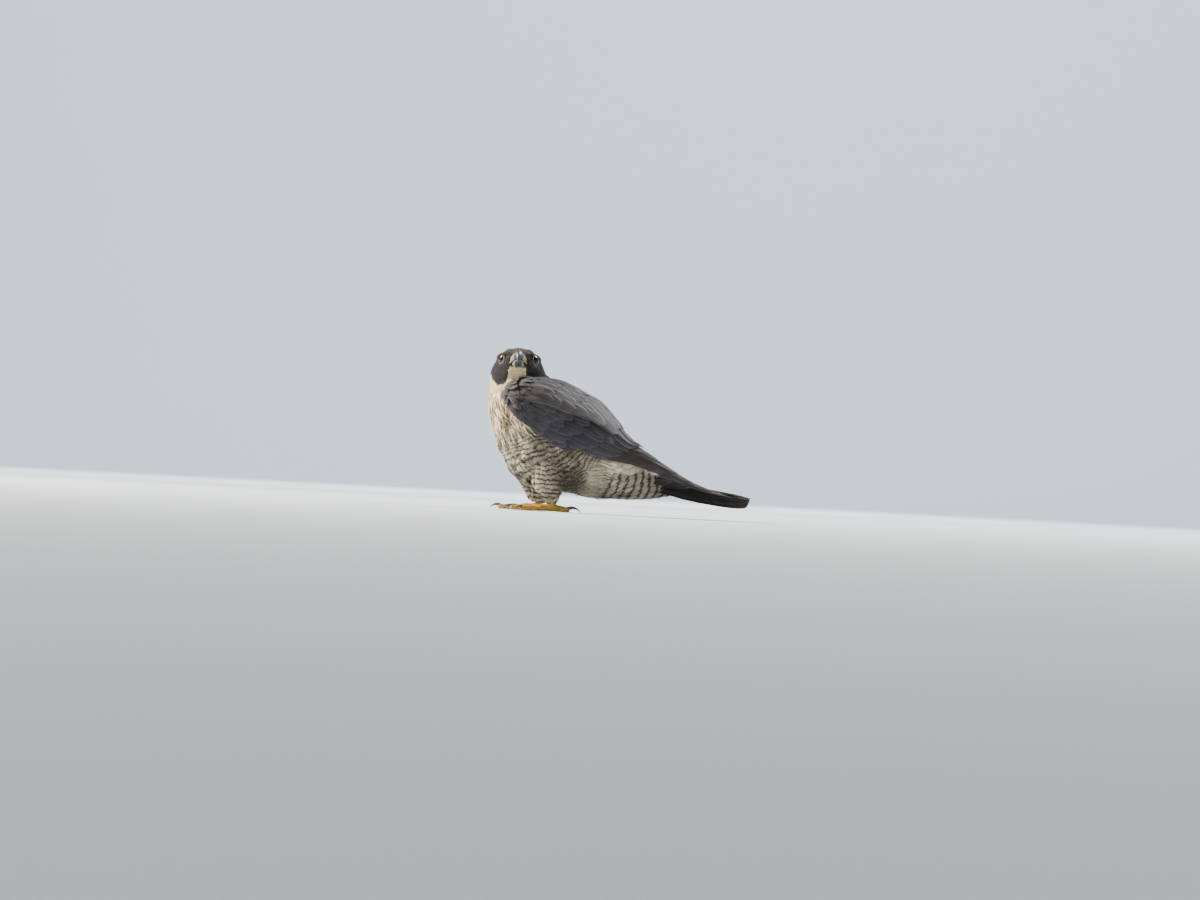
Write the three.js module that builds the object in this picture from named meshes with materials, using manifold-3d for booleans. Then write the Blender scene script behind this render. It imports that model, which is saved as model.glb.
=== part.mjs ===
// An adult peregrine falcon, life size, standing at rest with its head turned over its left shoulder.
// Millimetres, +Z up. The breast points to -X, the tail to +X and the left side to -Y.
import * as THREE from "three";
import { mergeVertices } from "three/addons/utils/BufferGeometryUtils.js";
import Module from "manifold-3d";

const wasm = await Module();
wasm.setup();
const { Manifold, Mesh: SolidMesh } = wasm;

// Driving sizes
const GAP = 0.32; // between touching pieces
const HEAD_AT = [-129.7, -7, 174.4]; // middle of the skull
const HEAD_PITCH = 27; // degrees that the bill points above the level
const EYE_RADIUS = 9;
const EYE_AT = [15.5, 16.2, 5.5]; // in the head's own frame: forward, left, up
const EYE_TURN = 38; // degrees that the eyes look forward of straight sideways
const LID_RADIUS = 6.4;
const FOOT_LEFT = [-80, -27];
const FOOT_RIGHT = [-96, 26];
const TARSUS_RADIUS = 4.6;
const NECK_CUT = { at: [-120, 153], slope: 8 }; // point in the XZ plane and its rise in degrees
const TAIL_PAIRS = 6; // pairs of tail feathers, the middle pair on top
const VANE_THICKNESS = 0.62;
const LAYER = 0.95; // step from one long feather to the next below it
const ARM_END = 0.63; // where the arm under the wing feathers ends, from wrist to tip

// Body sections from the neck to the end of the undertail feathers.
// Each row: breast x, breast z, back x, back z, half width.
const BODY = [
  [-153, 176, -106, 180, 24],
  [-161, 163, -95, 170, 33],
  [-167, 146, -73, 163, 43],
  [-166, 127, -53, 154, 50],
  [-160, 103, -36, 142, 54],
  [-150, 75, -19, 126, 55],
  [-135, 46, -3, 108, 53],
  [-110, 28, 9, 94, 48],
  [-68, 24, 19, 81, 41],
  [-28, 18, 29, 71, 32],
  [14, 17, 41, 60, 23],
  [46, 20, 54, 50, 14],
  [62, 25, 64, 40, 6],
];

// Sections of the folded left wing from the wrist to its tip.
// Each row: lower edge x, z, y, then upper edge x, z, y, then the y of the side between them.
const WING = [
  [-148, 146, -43, -141, 158, -40, -46],
  [-142, 132, -54, -122, 165, -36, -61],
  [-130, 113, -59, -98, 164, -25, -68],
  [-110, 95, -60, -72, 161, -14, -70],
  [-88, 75, -58, -46, 151, -6, -68],
  [-64, 64, -54, -22, 138.5, -3, -63],
  [-38, 59, -48, -1, 116, -2.5, -56],
  [-10, 59, -40, 16, 96, -2.5, -46],
  [20, 57, -31, 32, 87.5, -2.5, -35],
  [60, 46, -24, 61, 69, -3, -27],
  [100, 35.5, -19, 100, 45.5, -6, -20],
  [126, 31.5, -16, 125, 36.5, -9, -16],
  [148, 28.5, -13, 148, 29.5, -11, -13],
];

// Skull sections from nape to forehead in the head's own frame.
// Each row: forward, centre height, half height, half width.
const HEAD = [
  [-37, -5, 7, 8],
  [-31, -5, 19, 21],
  [-19, -3, 27.5, 31],
  [-5, -2, 30, 34.5],
  [7, -1, 29, 33],
  [16, -0.5, 25, 27],
  [23, 0, 18.5, 19.5],
  [28.5, 0, 12, 13.5],
];
const CROWN_NARROWING = 0.26;

// Bill sections. Each row: forward, height, half depth, half width, degrees that the axis dips.
const UPPER_BILL = [
  [19, 2.2, 8, 9.6, 0],
  [27, 2.6, 7.8, 9, 0],
  [32, 2.6, 7.2, 7.6, 6],
  [36.6, 1.5, 6, 5.8, 24],
  [40, -1.4, 4.4, 4.1, 50],
  [41.8, -5.4, 2.9, 2.7, 75],
  [42, -9, 1.5, 1.5, 92],
  [41.4, -11.4, 0.4, 0.4, 100],
];
const LOWER_BILL = [
  [17, -6, 4, 9.4, 0],
  [25, -6.4, 3.8, 8, 0],
  [31.5, -6.6, 3.4, 6, 0],
  [35.8, -6.4, 2.5, 3.8, -6],
  [38.2, -6, 1, 1.4, -10],
];

// Toes: name, length without claw, degrees from straight ahead (inwards positive), claw length, half width.
const TOES = [
  ["inner", 33, 30, 17, 4.1],
  ["middle", 50, 3, 15, 4.1],
  ["outer", 41, -26, 13, 3.7],
  ["hind", 23, 176, 19, 4.1],
];
const TOE_PADS = 3;

// Tail line seen from the side, from the root to the tip. Each row: x, z.
const TAIL_LINE = [
  [30, 51],
  [75, 43.5],
  [120, 37],
  [150, 33],
  [168, 29],
];
const TAIL_HALF_WIDTH = 30;
const TAIL_DROOP = 13; // how far the sides of the tail hang below its middle

const degrees = THREE.MathUtils.degToRad;
const lerp = THREE.MathUtils.lerp;

// Materials
const paint = (hex, roughness) => new THREE.MeshStandardMaterial({ color: hex, roughness, metalness: 0 });
const SLATE = paint(0x5b5554, 0.75);
const HOOD = paint(0x2b2829, 0.7);
const CREAM = paint(0xcdbfa6, 0.85);
const HORN = paint(0x3b4048, 0.4);
const SKIN = paint(0xd9a520, 0.5);
const EYE = paint(0x1c1210, 0.1);

// Rows of numbers read as a smooth curve: the row at the fraction u of the way.
function rowAt(rows, u) {
  const place = THREE.MathUtils.clamp(u, 0, 1) * (rows.length - 1);
  const i = Math.min(Math.floor(place), rows.length - 2);
  const f = place - i;
  const [a, b, c, d] = [i - 1, i, i + 1, i + 2].map((k) => rows[THREE.MathUtils.clamp(k, 0, rows.length - 1)]);
  return b.map((_, k) => {
    const slopeB = (c[k] - a[k]) / 2;
    const slopeC = (d[k] - b[k]) / 2;
    const rise = c[k] - b[k];
    return b[k] + f * (slopeB + f * (3 * rise - 2 * slopeB - slopeC + f * (slopeB + slopeC - 2 * rise)));
  });
}

function solidOf(geometry) {
  const bare = new THREE.BufferGeometry().setAttribute("position", geometry.getAttribute("position"));
  bare.setIndex(geometry.index);
  const merged = mergeVertices(bare, 1e-4);
  const make = (triVerts) =>
    new Manifold(new SolidMesh({ numProp: 3, vertProperties: merged.attributes.position.array, triVerts }));
  const solid = make(new Uint32Array(merged.index.array));
  return solid.volume() > 0 ? solid : make(new Uint32Array(merged.index.array).reverse());
}

function meshOf(name, solid, material) {
  const { vertProperties, triVerts } = largest(solid).getMesh();
  const geometry = new THREE.BufferGeometry();
  geometry.setAttribute("position", new THREE.BufferAttribute(vertProperties, 3));
  geometry.setIndex(new THREE.BufferAttribute(triVerts, 1));
  geometry.computeVertexNormals();
  const mesh = new THREE.Mesh(geometry, material);
  mesh.name = name;
  return mesh;
}

const largest = (solid) => solid.decompose().reduce((a, b) => (b.volume() > a.volume() ? b : a));
const joined = (solids) => solids.reduce((a, b) => a.add(b));
const mirrored = (solid) => solid.mirror([0, 1, 0]);

// A closed body through rings. Each ring has a centre and two half axes.
// The egg value narrows the side that its first half axis points to.
function loft(rings, sides, egg = 0) {
  const geometry = new THREE.CylinderGeometry(1, 1, 1, sides, rings.length - 1);
  const p = geometry.attributes.position;
  for (let i = 0; i < p.count; i++) {
    const ring = rings[Math.round((0.5 - p.getY(i)) * (rings.length - 1))];
    const [a, b] = [p.getX(i), p.getZ(i)];
    const point = ring.centre.clone().addScaledVector(ring.up, a).addScaledVector(ring.side, b * (1 - egg * a));
    p.setXYZ(i, point.x, point.y, point.z);
  }
  return solidOf(geometry);
}

// Rings along a curve of rows, where ringOf turns a row into a ring.
function along(rows, count, ringOf) {
  return Array.from({ length: count }, (_, i) => ringOf(rowAt(rows, i / (count - 1)), i / (count - 1)));
}

function bodyRings(grow) {
  const rings = along(BODY, 18, ([frontX, frontZ, backX, backZ, half]) => {
    const centre = new THREE.Vector3((frontX + backX) / 2, 0, (frontZ + backZ) / 2);
    const up = new THREE.Vector3(backX - frontX, 0, backZ - frontZ).multiplyScalar(0.5);
    up.setLength(up.length() + grow);
    return { centre, up, side: new THREE.Vector3(0, half + grow, 0) };
  });
  const last = rings.at(-1);
  rings.push({ ...last, centre: last.centre.clone().add(new THREE.Vector3(grow, 0, 0)) });
  return grow > 0 ? rings : rings.slice(0, -1);
}

const BODY_SIDES = 22;
const body = loft(bodyRings(0), BODY_SIDES);
const bodyGrown = loft(bodyRings(GAP), BODY_SIDES);

// Head, in its own frame: X forward, Y left, Z up
function headSolid(grow) {
  const rings = along(HEAD, 11, ([x, height, halfHeight, halfWidth]) => ({
    centre: new THREE.Vector3(x, 0, height),
    up: new THREE.Vector3(0, 0, halfHeight + grow),
    side: new THREE.Vector3(0, halfWidth + grow, 0),
  }));
  if (grow > 0) {
    rings[0].centre.x -= grow;
    rings.at(-1).centre.x += grow;
  }
  return loft(rings, 20, CROWN_NARROWING);
}

const mirrorPair = (solid) => solid.add(mirrored(solid));

function eyeSolid(grow) {
  return solidOf(new THREE.SphereGeometry(EYE_RADIUS + grow, 14, 10)).translate(EYE_AT);
}

// The rim of bare skin round the eye, facing out and a little forward.
function lidRing() {
  const ring = new THREE.TorusGeometry(LID_RADIUS, 1.5, 5, 12);
  ring.rotateX(Math.PI / 2);
  ring.rotateZ(degrees(-EYE_TURN));
  const out = EYE_RADIUS * 0.63;
  ring.translate(EYE_AT[0] + out * Math.sin(degrees(EYE_TURN)), EYE_AT[1] + out * Math.cos(degrees(EYE_TURN)), EYE_AT[2]);
  return solidOf(ring);
}

// The bony brow that shades the eye.
function brow() {
  const rows = [
    [-4, 25.5, 12.5, 2],
    [8, 25, 14, 3.2],
    [17, 19.8, 13.8, 3.2],
    [24.5, 11.5, 11, 1.6],
  ];
  const rings = along(rows, 7, ([x, y, z, r]) => ({
    centre: new THREE.Vector3(x, y, z),
    up: new THREE.Vector3(0, 0, r * 0.75),
    side: new THREE.Vector3(0, r, 0),
  }));
  return loft(rings, 8);
}

function billSolid(rows, count, sides, grow) {
  const rings = along(rows, count, ([x, z, halfDepth, halfWidth, dip]) => ({
    centre: new THREE.Vector3(x, 0, z),
    up: new THREE.Vector3(Math.sin(degrees(dip)), 0, Math.cos(degrees(dip))).multiplyScalar(halfDepth + grow),
    side: new THREE.Vector3(0, halfWidth + grow, 0),
  }));
  return loft(rings, sides);
}

// A round pit with a small peg in its middle.
function nostril() {
  const pit = solidOf(new THREE.CylinderGeometry(1.7, 1.4, 3, 10)).translate([30, 8.3, 4.8]);
  const peg = solidOf(new THREE.CylinderGeometry(0.6, 0.6, 3.4, 6)).translate([30, 8.3, 4.8]);
  return pit.subtract(peg);
}

function headGroup() {
  const group = new THREE.Group();
  group.position.set(...HEAD_AT);
  group.rotation.set(0, degrees(-HEAD_PITCH), degrees(-90), "ZYX");
  const eyes = mirrorPair(eyeSolid(GAP));
  const skull = joined([headSolid(0), mirrorPair(lidRing()), mirrorPair(brow())]).subtract(eyes);
  const headGrown = headSolid(GAP);
  const upper = billSolid(UPPER_BILL, 12, 12, 0).subtract(mirrorPair(nostril())).subtract(headGrown);
  const upperGrown = billSolid(UPPER_BILL, 12, 12, GAP);
  const lower = billSolid(LOWER_BILL, 9, 12, 0).subtract(upperGrown).subtract(headGrown);
  group.add(meshOf("head", skull, HOOD));
  group.add(meshOf("bill_upper", upper, HORN));
  group.add(meshOf("bill_lower", lower, HORN));
  group.add(meshOf("eye_left", eyeSolid(0), EYE));
  group.add(meshOf("eye_right", mirrored(eyeSolid(0)), EYE));
  group.updateMatrixWorld(true);
  return group;
}

const headPlaced = headGroup();
const headGrownPlaced = headSolid(GAP).transform(headPlaced.matrixWorld.elements);

// Wing surface of the left wing at u from wrist to tip and v from lower to upper edge.
function wingPoint(u, v) {
  const [lowX, lowZ, lowY, upX, upZ, upY, sideY] = rowAt(WING, u);
  const low = new THREE.Vector3(lowX, lowY, lowZ);
  const up = new THREE.Vector3(upX, upY, upZ);
  const side = new THREE.Vector3(lerp(lowX, upX, 0.75), sideY, lerp(lowZ, upZ, 0.8));
  return new THREE.QuadraticBezierCurve3(low, side, up).getPoint(v);
}

function wingFrame(u, v) {
  const step = 0.004;
  const point = wingPoint(u, v);
  const onward = wingPoint(Math.min(u + step, 1), v).sub(wingPoint(Math.max(u - step, 0), v)).normalize();
  const across = wingPoint(u, Math.min(v + step, 1)).sub(wingPoint(u, Math.max(v - step, 0))).normalize();
  const normal = new THREE.Vector3().crossVectors(onward, across).normalize();
  if (normal.y > 0.2) normal.negate();
  return { point, onward, normal };
}

// A curved plate on the wing surface: the arm and hand under the feathers.
function wingCore(uEnd, thickness) {
  const [nu, nv] = [10, 4];
  const geometry = new THREE.BoxGeometry(1, 1, 1, nu, nv, 1);
  const p = geometry.attributes.position;
  for (let i = 0; i < p.count; i++) {
    const u = (p.getX(i) + 0.5) * uEnd;
    const v = p.getY(i) + 0.5;
    const { point, normal } = wingFrame(u, v);
    const depth = p.getZ(i) > 0 ? 0 : thickness(u, v);
    point.addScaledVector(normal, -depth);
    p.setXYZ(i, point.x, point.y, point.z);
  }
  return solidOf(geometry);
}

const armThickness = (u) => lerp(13, 5.2, THREE.MathUtils.smoothstep(u, 0.42, ARM_END));

// One feather: a thin plate through cross sections, each with a centre, a half-width vector,
// the outward normal and the amount by which its edges drop. Both faces share their triangles.
function vane(sections, thickness) {
  const rows = sections.length;
  const plane = new THREE.PlaneGeometry(1, 1, 2, rows - 1);
  const top = plane.attributes.position;
  const count = top.count;
  const points = new Float32Array(count * 6);
  for (let i = 0; i < count; i++) {
    const { centre, half, normal, drop } = sections[Math.floor(i / 3)];
    const across = (i % 3) - 1;
    const point = centre.clone().addScaledVector(half, across).addScaledVector(normal, -drop * across * across);
    point.toArray(points, i * 3);
    point.addScaledVector(normal, -thickness).toArray(points, (count + i) * 3);
  }
  const upper = Array.from(plane.index.array);
  const lower = upper.map((k) => k + count).reverse();
  const rim = [0, 1, 2];
  for (let r = 1; r < rows; r++) rim.push(r * 3 + 2);
  rim.push(rows * 3 - 2, rows * 3 - 3);
  for (let r = rows - 2; r > 0; r--) rim.push(r * 3);
  const sides = rim.flatMap((a, k) => {
    const b = rim[(k + 1) % rim.length];
    return [a, b, a + count, b, b + count, a + count];
  });
  const geometry = new THREE.BufferGeometry();
  geometry.setAttribute("position", new THREE.BufferAttribute(points, 3));
  geometry.setIndex([...upper, ...lower, ...sides]);
  return solidOf(geometry);
}

// Widths of a feather along its length as shares of its full width: places, then widths.
const LONG_FEATHER = [
  [0, 0.5],
  [0.6, 1],
  [0.9, 0.78],
  [1, 0.26],
];
const COVERT = [
  [0, 0.6],
  [0.72, 1],
  [1, 0.4],
];

// Wing tracts: each row of feathers runs from its first to its last, lowest edge first.
// root and tip give u and v on the wing surface, and lift is the height of root and tip above it.
const TRACTS = [
  { name: "primaries", count: 6, root: [[0.42, 0.3], [0.5, 0.6]], tip: [[1, 0.5], [0.74, 0.72]], width: [13, 17],
    lift: [[-5.4, -0.7], [-5.4, -0.7]], form: LONG_FEATHER },
  { name: "secondaries", count: 6, root: [[0.37, 0.16], [0.42, 0.84]], tip: [[0.6, 0.2], [0.66, 0.8]], width: [19, 21],
    lift: [[-2, -2], [0.1, 1.5]], form: COVERT },
  { name: "greater coverts", count: 6, root: [[0.33, 0.1], [0.37, 0.6]], tip: [[0.475, 0.1], [0.52, 0.66]],
    width: [16, 18], lift: [[-2, -2], [1.5, 1.8]], form: COVERT },
  { name: "median coverts", count: 5, root: [[0.24, 0.08], [0.27, 0.55]], tip: [[0.37, 0.1], [0.41, 0.6]],
    width: [17, 19], lift: [[-2, -2], [1.5, 2]], form: COVERT },
  { name: "tertials", count: 2, root: [[0.42, 0.78], [0.43, 0.92]], tip: [[0.645, 0.86], [0.66, 0.94]],
    width: [18, 15], lift: [[-1.5, -1.5], [2.6, 3.6]], form: LONG_FEATHER },
  { name: "lower scapulars", count: 3, root: [[0.36, 0.66], [0.37, 0.93]], tip: [[0.51, 0.72], [0.545, 0.92]],
    width: [22, 18], lift: [[-1.5, -1.5], [3, 3.4]], form: COVERT },
  { name: "middle scapulars", count: 3, root: [[0.25, 0.56], [0.25, 0.94]], tip: [[0.42, 0.6], [0.43, 0.92]],
    width: [28, 25], lift: [[-1, 1.2], [2.8, 3.6]], form: COVERT },
  { name: "upper scapulars", count: 3, root: [[0.16, 0.5], [0.17, 0.93]], tip: [[0.32, 0.58], [0.33, 0.92]],
    width: [28, 27], lift: [[-1.5, -1], [3, 4]], form: COVERT },
];
const CAMBER = 1 / 420; // drop of a feather's edges, by the square of its width

function tractVanes({ count, root, tip, width, lift, form }) {
  return Array.from({ length: count }, (_, i) => {
    const f = i / (count - 1);
    const mix = ([first, last]) => first.map((x, k) => lerp(x, last[k], f));
    const [rootAt, tipAt] = [mix(root), mix(tip)];
    const [rootLift, tipLift] = lift.map(([first, last]) => lerp(first, last, f));
    const full = lerp(...width, f);
    const sections = form.map(([s, share]) => {
      const { point, onward, normal } = wingFrame(lerp(rootAt[0], tipAt[0], s), lerp(rootAt[1], tipAt[1], s));
      const half = new THREE.Vector3().crossVectors(normal, onward).setLength((full * share) / 2);
      const centre = point.addScaledVector(normal, lerp(rootLift, tipLift, Math.min(1, s * 1.6)));
      return { centre, half, normal, drop: Math.pow(full * share, 2) * CAMBER };
    });
    return vane(sections, VANE_THICKNESS);
  });
}

function wing() {
  return joined([wingCore(ARM_END, armThickness), ...TRACTS.flatMap(tractVanes)]);
}

// Tail surface: s from root to tip, and offset from the middle to either side
function tailPoint(s, side) {
  const [x, z] = rowAt(TAIL_LINE, s);
  const spread = TAIL_HALF_WIDTH * lerp(0.62, 1, s);
  return new THREE.Vector3(x, side * spread, z - TAIL_DROOP * side * side * lerp(0.75, 1, s));
}

// The root of the tail, wrapped in its coverts.
function tailRoot() {
  const geometry = new THREE.BoxGeometry(1, 1, 1, 4, 6, 1);
  const p = geometry.attributes.position;
  for (let i = 0; i < p.count; i++) {
    const point = tailPoint((p.getX(i) + 0.5) * 0.42, p.getY(i) * 1.7);
    p.setXYZ(i, point.x, point.y, point.z + (p.getZ(i) > 0 ? 0.8 : -LAYER * TAIL_PAIRS));
  }
  return solidOf(geometry);
}

// One tail feather: pair 0 is the middle pair, and hand is 1 on the bird's right.
function tailVane(pair, hand) {
  const shorter = 0.012 * pair * pair * 0.25;
  const sections = LONG_FEATHER.map(([place, share]) => {
    const s = lerp(0.12, 1 - shorter, place);
    const spread = TAIL_HALF_WIDTH * lerp(0.62, 1, s);
    const side = hand * ((pair + 0.5) / TAIL_PAIRS) * lerp(0.55, 0.76, place);
    const reach = (8.4 * share) / spread;
    const [left, centre, right] = [side - reach, side, side + reach].map((q) => tailPoint(s, q));
    const half = right.clone().sub(left).multiplyScalar(0.5);
    centre.z -= LAYER * pair;
    return { centre, half, normal: new THREE.Vector3(0, 0, 1), drop: 0.5 * share };
  });
  return vane(sections, VANE_THICKNESS);
}

function tailSolid() {
  const pairs = Array.from({ length: TAIL_PAIRS }, (_, pair) => [tailVane(pair, 1), tailVane(pair, -1)]);
  return joined([tailRoot(), ...pairs.flat()]);
}

// A plain block round the tail, to cut the wings clear of it.
function tailEnvelope() {
  const geometry = new THREE.BoxGeometry(1, 1, 1, 6, 6, 1);
  const p = geometry.attributes.position;
  for (let i = 0; i < p.count; i++) {
    const point = tailPoint(p.getX(i) + 0.5, p.getY(i) * 2);
    p.setXYZ(i, point.x, point.y, point.z + (p.getZ(i) > 0 ? 0.8 + GAP : -8));
  }
  return solidOf(geometry);
}

// Legs
function thighSolid([footX, footY], grow) {
  const rows = [
    [footX + 6, footY * 1.0, 92, 28, 19],
    [footX + 2, footY * 1.08, 70, 30, 22],
    [footX - 2, footY * 1.1, 50, 27, 21],
    [footX - 4, footY * 1.06, 33, 22, 18],
    [footX - 2, footY * 1.0, 18, 14.5, 12.5],
  ];
  const rings = along(rows, 9, ([x, y, z, halfX, halfY]) => ({
    centre: new THREE.Vector3(x, y, z),
    up: new THREE.Vector3(halfX + grow, 0, 0),
    side: new THREE.Vector3(0, halfY + grow, 0),
  }));
  rings.at(-1).centre.z -= grow;
  return loft(rings, 16);
}

// One toe as a row of swollen pads that end flat on the ground.
function toeSolid([footX, footY], inward, [, length, turn, , half], grow) {
  const angle = degrees(180 - inward * turn);
  const ahead = new THREE.Vector3(Math.cos(angle), Math.sin(angle), 0);
  const side = new THREE.Vector3(-ahead.y, ahead.x, 0);
  const places = [...Array(TOE_PADS * 2 + 1).keys()].map((i) => i / (TOE_PADS * 2)).concat(1.04);
  const rings = places.map((place) => {
    const s = Math.min(place, 1);
    const swell = 1 + 0.13 * Math.cos(s * TOE_PADS * 2 * Math.PI);
    const radius = half * swell * lerp(1.12, 0.86, s) * (place > 1 ? 0.6 : 1);
    const height = radius * 0.92 + lerp(2.2, 0, Math.min(1, s * 2));
    const centre = new THREE.Vector3(footX, footY, height).addScaledVector(ahead, place * length + (s > 0.5 ? grow : 0));
    return {
      centre,
      up: new THREE.Vector3(0, 0, radius + grow),
      side: side.clone().multiplyScalar(radius + grow),
    };
  });
  return loft(rings, 7);
}

function clawSolid([footX, footY], inward, [, length, turn, clawLength, half]) {
  const angle = degrees(180 - inward * turn);
  const ahead = new THREE.Vector3(Math.cos(angle), Math.sin(angle), 0);
  const side = new THREE.Vector3(-ahead.y, ahead.x, 0);
  const sweep = degrees(95);
  const radius = clawLength / sweep;
  const count = 6;
  const start = half * 1.15;
  const rings = Array.from({ length: count }, (_, i) => {
    const s = i / (count - 1);
    const bend = s * sweep - degrees(32);
    const reach = radius * (Math.sin(bend) - Math.sin(degrees(-32)));
    const drop = radius * (Math.cos(degrees(-32)) - Math.cos(bend));
    const girth = lerp(half * 0.62, 0.35, Math.pow(s, 0.8));
    const centre = new THREE.Vector3(footX, footY, start - drop).addScaledVector(ahead, length - 2 + reach);
    const up = new THREE.Vector3(0, 0, Math.cos(bend)).addScaledVector(ahead, Math.sin(bend)).multiplyScalar(girth);
    return { centre, up, side: side.clone().multiplyScalar(girth * 0.8) };
  });
  return loft(rings, 6);
}

const aboveGround = (solid) => solid.trimByPlane([0, 0, 1], 0);

function footSolid(foot, inward, grow) {
  const [x, y] = foot;
  const tarsus = loft(
    along(
      [
        [x, 5, TARSUS_RADIUS * 1.25],
        [x + 1, 13, TARSUS_RADIUS],
        [x + 7, 26, TARSUS_RADIUS],
        [x + 14, 40, TARSUS_RADIUS * 1.1],
      ],
      6,
      ([cx, cz, r]) => ({
        centre: new THREE.Vector3(cx, y, cz),
        up: new THREE.Vector3(r + grow, 0, 0),
        side: new THREE.Vector3(0, r + grow, 0),
      }),
    ),
    10,
  );
  const ball = solidOf(new THREE.SphereGeometry(6.4 + grow, 10, 6)).translate([x, y, 5.4]);
  const toes = TOES.map((toe) => toeSolid(foot, inward, toe, grow));
  return aboveGround(joined([tarsus, ball, ...toes]));
}

const falcon = new THREE.Group();

function addLeg(name, foot, inward) {
  const thigh = thighSolid(foot, 0).subtract(bodyGrown);
  const thighGrown = thighSolid(foot, GAP);
  const footWhole = footSolid(foot, inward, 0).subtract(thighGrown).subtract(bodyGrown);
  falcon.add(meshOf(`thigh_${name}`, thigh, CREAM));
  falcon.add(meshOf(`foot_${name}`, footWhole, SKIN));
  for (const toe of TOES) {
    const claw = clawSolid(foot, inward, toe).subtract(toeSolid(foot, inward, toe, GAP));
    falcon.add(meshOf(`claw_${name}_${toe[0]}`, aboveGround(claw), HORN));
  }
  return thighGrown;
}

const neckAngle = degrees(NECK_CUT.slope);
const neckNormal = [-Math.sin(neckAngle), 0, Math.cos(neckAngle)];
const neckOffset = neckNormal[0] * NECK_CUT.at[0] + neckNormal[2] * NECK_CUT.at[1];

falcon.add(headPlaced);
falcon.add(meshOf("neck", body.trimByPlane(neckNormal, neckOffset + GAP / 2).subtract(headGrownPlaced), CREAM));
const torso = body.trimByPlane(neckNormal.map((n) => -n), GAP / 2 - neckOffset).subtract(headGrownPlaced);

const thighLeftGrown = addLeg("left", FOOT_LEFT, 1);
const thighRightGrown = addLeg("right", FOOT_RIGHT, -1);
falcon.add(meshOf("torso", torso, CREAM));

falcon.add(meshOf("tail", tailSolid().subtract(bodyGrown), SLATE));
const tailGrown = tailEnvelope();

const wingClear = (solid, thighGrown) =>
  solid.subtract(bodyGrown).subtract(headGrownPlaced).subtract(thighGrown).subtract(tailGrown);
falcon.add(meshOf("wing_left", wingClear(wing(), thighLeftGrown), SLATE));
falcon.add(meshOf("wing_right", wingClear(mirrored(wing()), thighRightGrown), SLATE));

// The origin is on the ground under the middle of the bird.
falcon.updateMatrixWorld(true);
const reach = new THREE.Box3().setFromObject(falcon, true);
falcon.position.set(-(reach.min.x + reach.max.x) / 2, -(reach.min.y + reach.max.y) / 2, -reach.min.z);

export default falcon;
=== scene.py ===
"""Adult peregrine falcon, life size, with its plumage built as solid vanes over one skin."""

import math

import bmesh
import bpy
import numpy as np
from mathutils import Euler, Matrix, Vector


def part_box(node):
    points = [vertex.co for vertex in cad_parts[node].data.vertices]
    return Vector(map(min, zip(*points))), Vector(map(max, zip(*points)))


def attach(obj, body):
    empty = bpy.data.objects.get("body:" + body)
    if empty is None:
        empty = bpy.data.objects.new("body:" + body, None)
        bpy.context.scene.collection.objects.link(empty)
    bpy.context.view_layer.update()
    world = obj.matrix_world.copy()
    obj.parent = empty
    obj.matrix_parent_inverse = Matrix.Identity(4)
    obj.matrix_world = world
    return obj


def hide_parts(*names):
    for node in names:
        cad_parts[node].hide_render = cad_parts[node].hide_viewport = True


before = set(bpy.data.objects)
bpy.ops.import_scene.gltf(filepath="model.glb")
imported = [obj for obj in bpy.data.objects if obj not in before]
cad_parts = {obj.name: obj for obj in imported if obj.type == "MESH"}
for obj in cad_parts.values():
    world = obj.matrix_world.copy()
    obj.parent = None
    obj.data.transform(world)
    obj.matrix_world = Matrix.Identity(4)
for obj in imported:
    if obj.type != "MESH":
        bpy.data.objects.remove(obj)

bl_info = {
    "name": "Peregrine Falcon",
    "version": (1, 0, 0),
    "blender": (4, 5, 0),
    "location": "3D View > Sidebar > Falcon",
    "description": "Dresses the falcon's frame with skin, feathers, bill, eyes and feet",
    "category": "Object",
}

MM = 0.001

# The same sizes as in the part's source, in millimetres
HEAD_AT = np.array([-129.7, -7.0, 174.4])
HEAD_PITCH = math.radians(27)
EYE_AT = np.array([15.5, 16.2, 5.5])
EYE_RADIUS = 9.0
EYE_TURN = math.radians(38)
# Each foot's place, and 1 or -1 for the side that its inner toe is on
FEET = {"left": (-80.0, -27.0, 1), "right": (-96.0, 26.0, -1)}
TARSUS_RADIUS = 4.6
TAIL_PAIRS = 6
LAYER = 0.95
# Each row: breast x, breast z, back x, back z, half width
BODY = [
    (-153, 176, -106, 180, 24),
    (-161, 163, -95, 170, 33),
    (-167, 146, -73, 163, 43),
    (-166, 127, -53, 154, 50),
    (-160, 103, -36, 142, 54),
    (-150, 75, -19, 126, 55),
    (-135, 46, -3, 108, 53),
    (-110, 28, 9, 94, 48),
    (-68, 24, 19, 81, 41),
    (-28, 18, 29, 71, 32),
    (14, 17, 41, 60, 23),
    (46, 20, 54, 50, 14),
    (62, 25, 64, 40, 6),
]
# Each row: lower edge x, z, y, then upper edge x, z, y, then the y of the side between them
WING = [
    (-148, 146, -43, -141, 158, -40, -46),
    (-142, 132, -54, -122, 165, -36, -61),
    (-130, 113, -59, -98, 164, -25, -68),
    (-110, 95, -60, -72, 161, -14, -70),
    (-88, 75, -58, -46, 151, -6, -68),
    (-64, 64, -54, -22, 138.5, -3, -63),
    (-38, 59, -48, -1, 116, -2.5, -56),
    (-10, 59, -40, 16, 96, -2.5, -46),
    (20, 57, -31, 32, 87.5, -2.5, -35),
    (60, 46, -24, 61, 69, -3, -27),
    (100, 35.5, -19, 100, 45.5, -6, -20),
    (126, 31.5, -16, 125, 36.5, -9, -16),
    (148, 28.5, -13, 148, 29.5, -11, -13),
]
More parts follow.
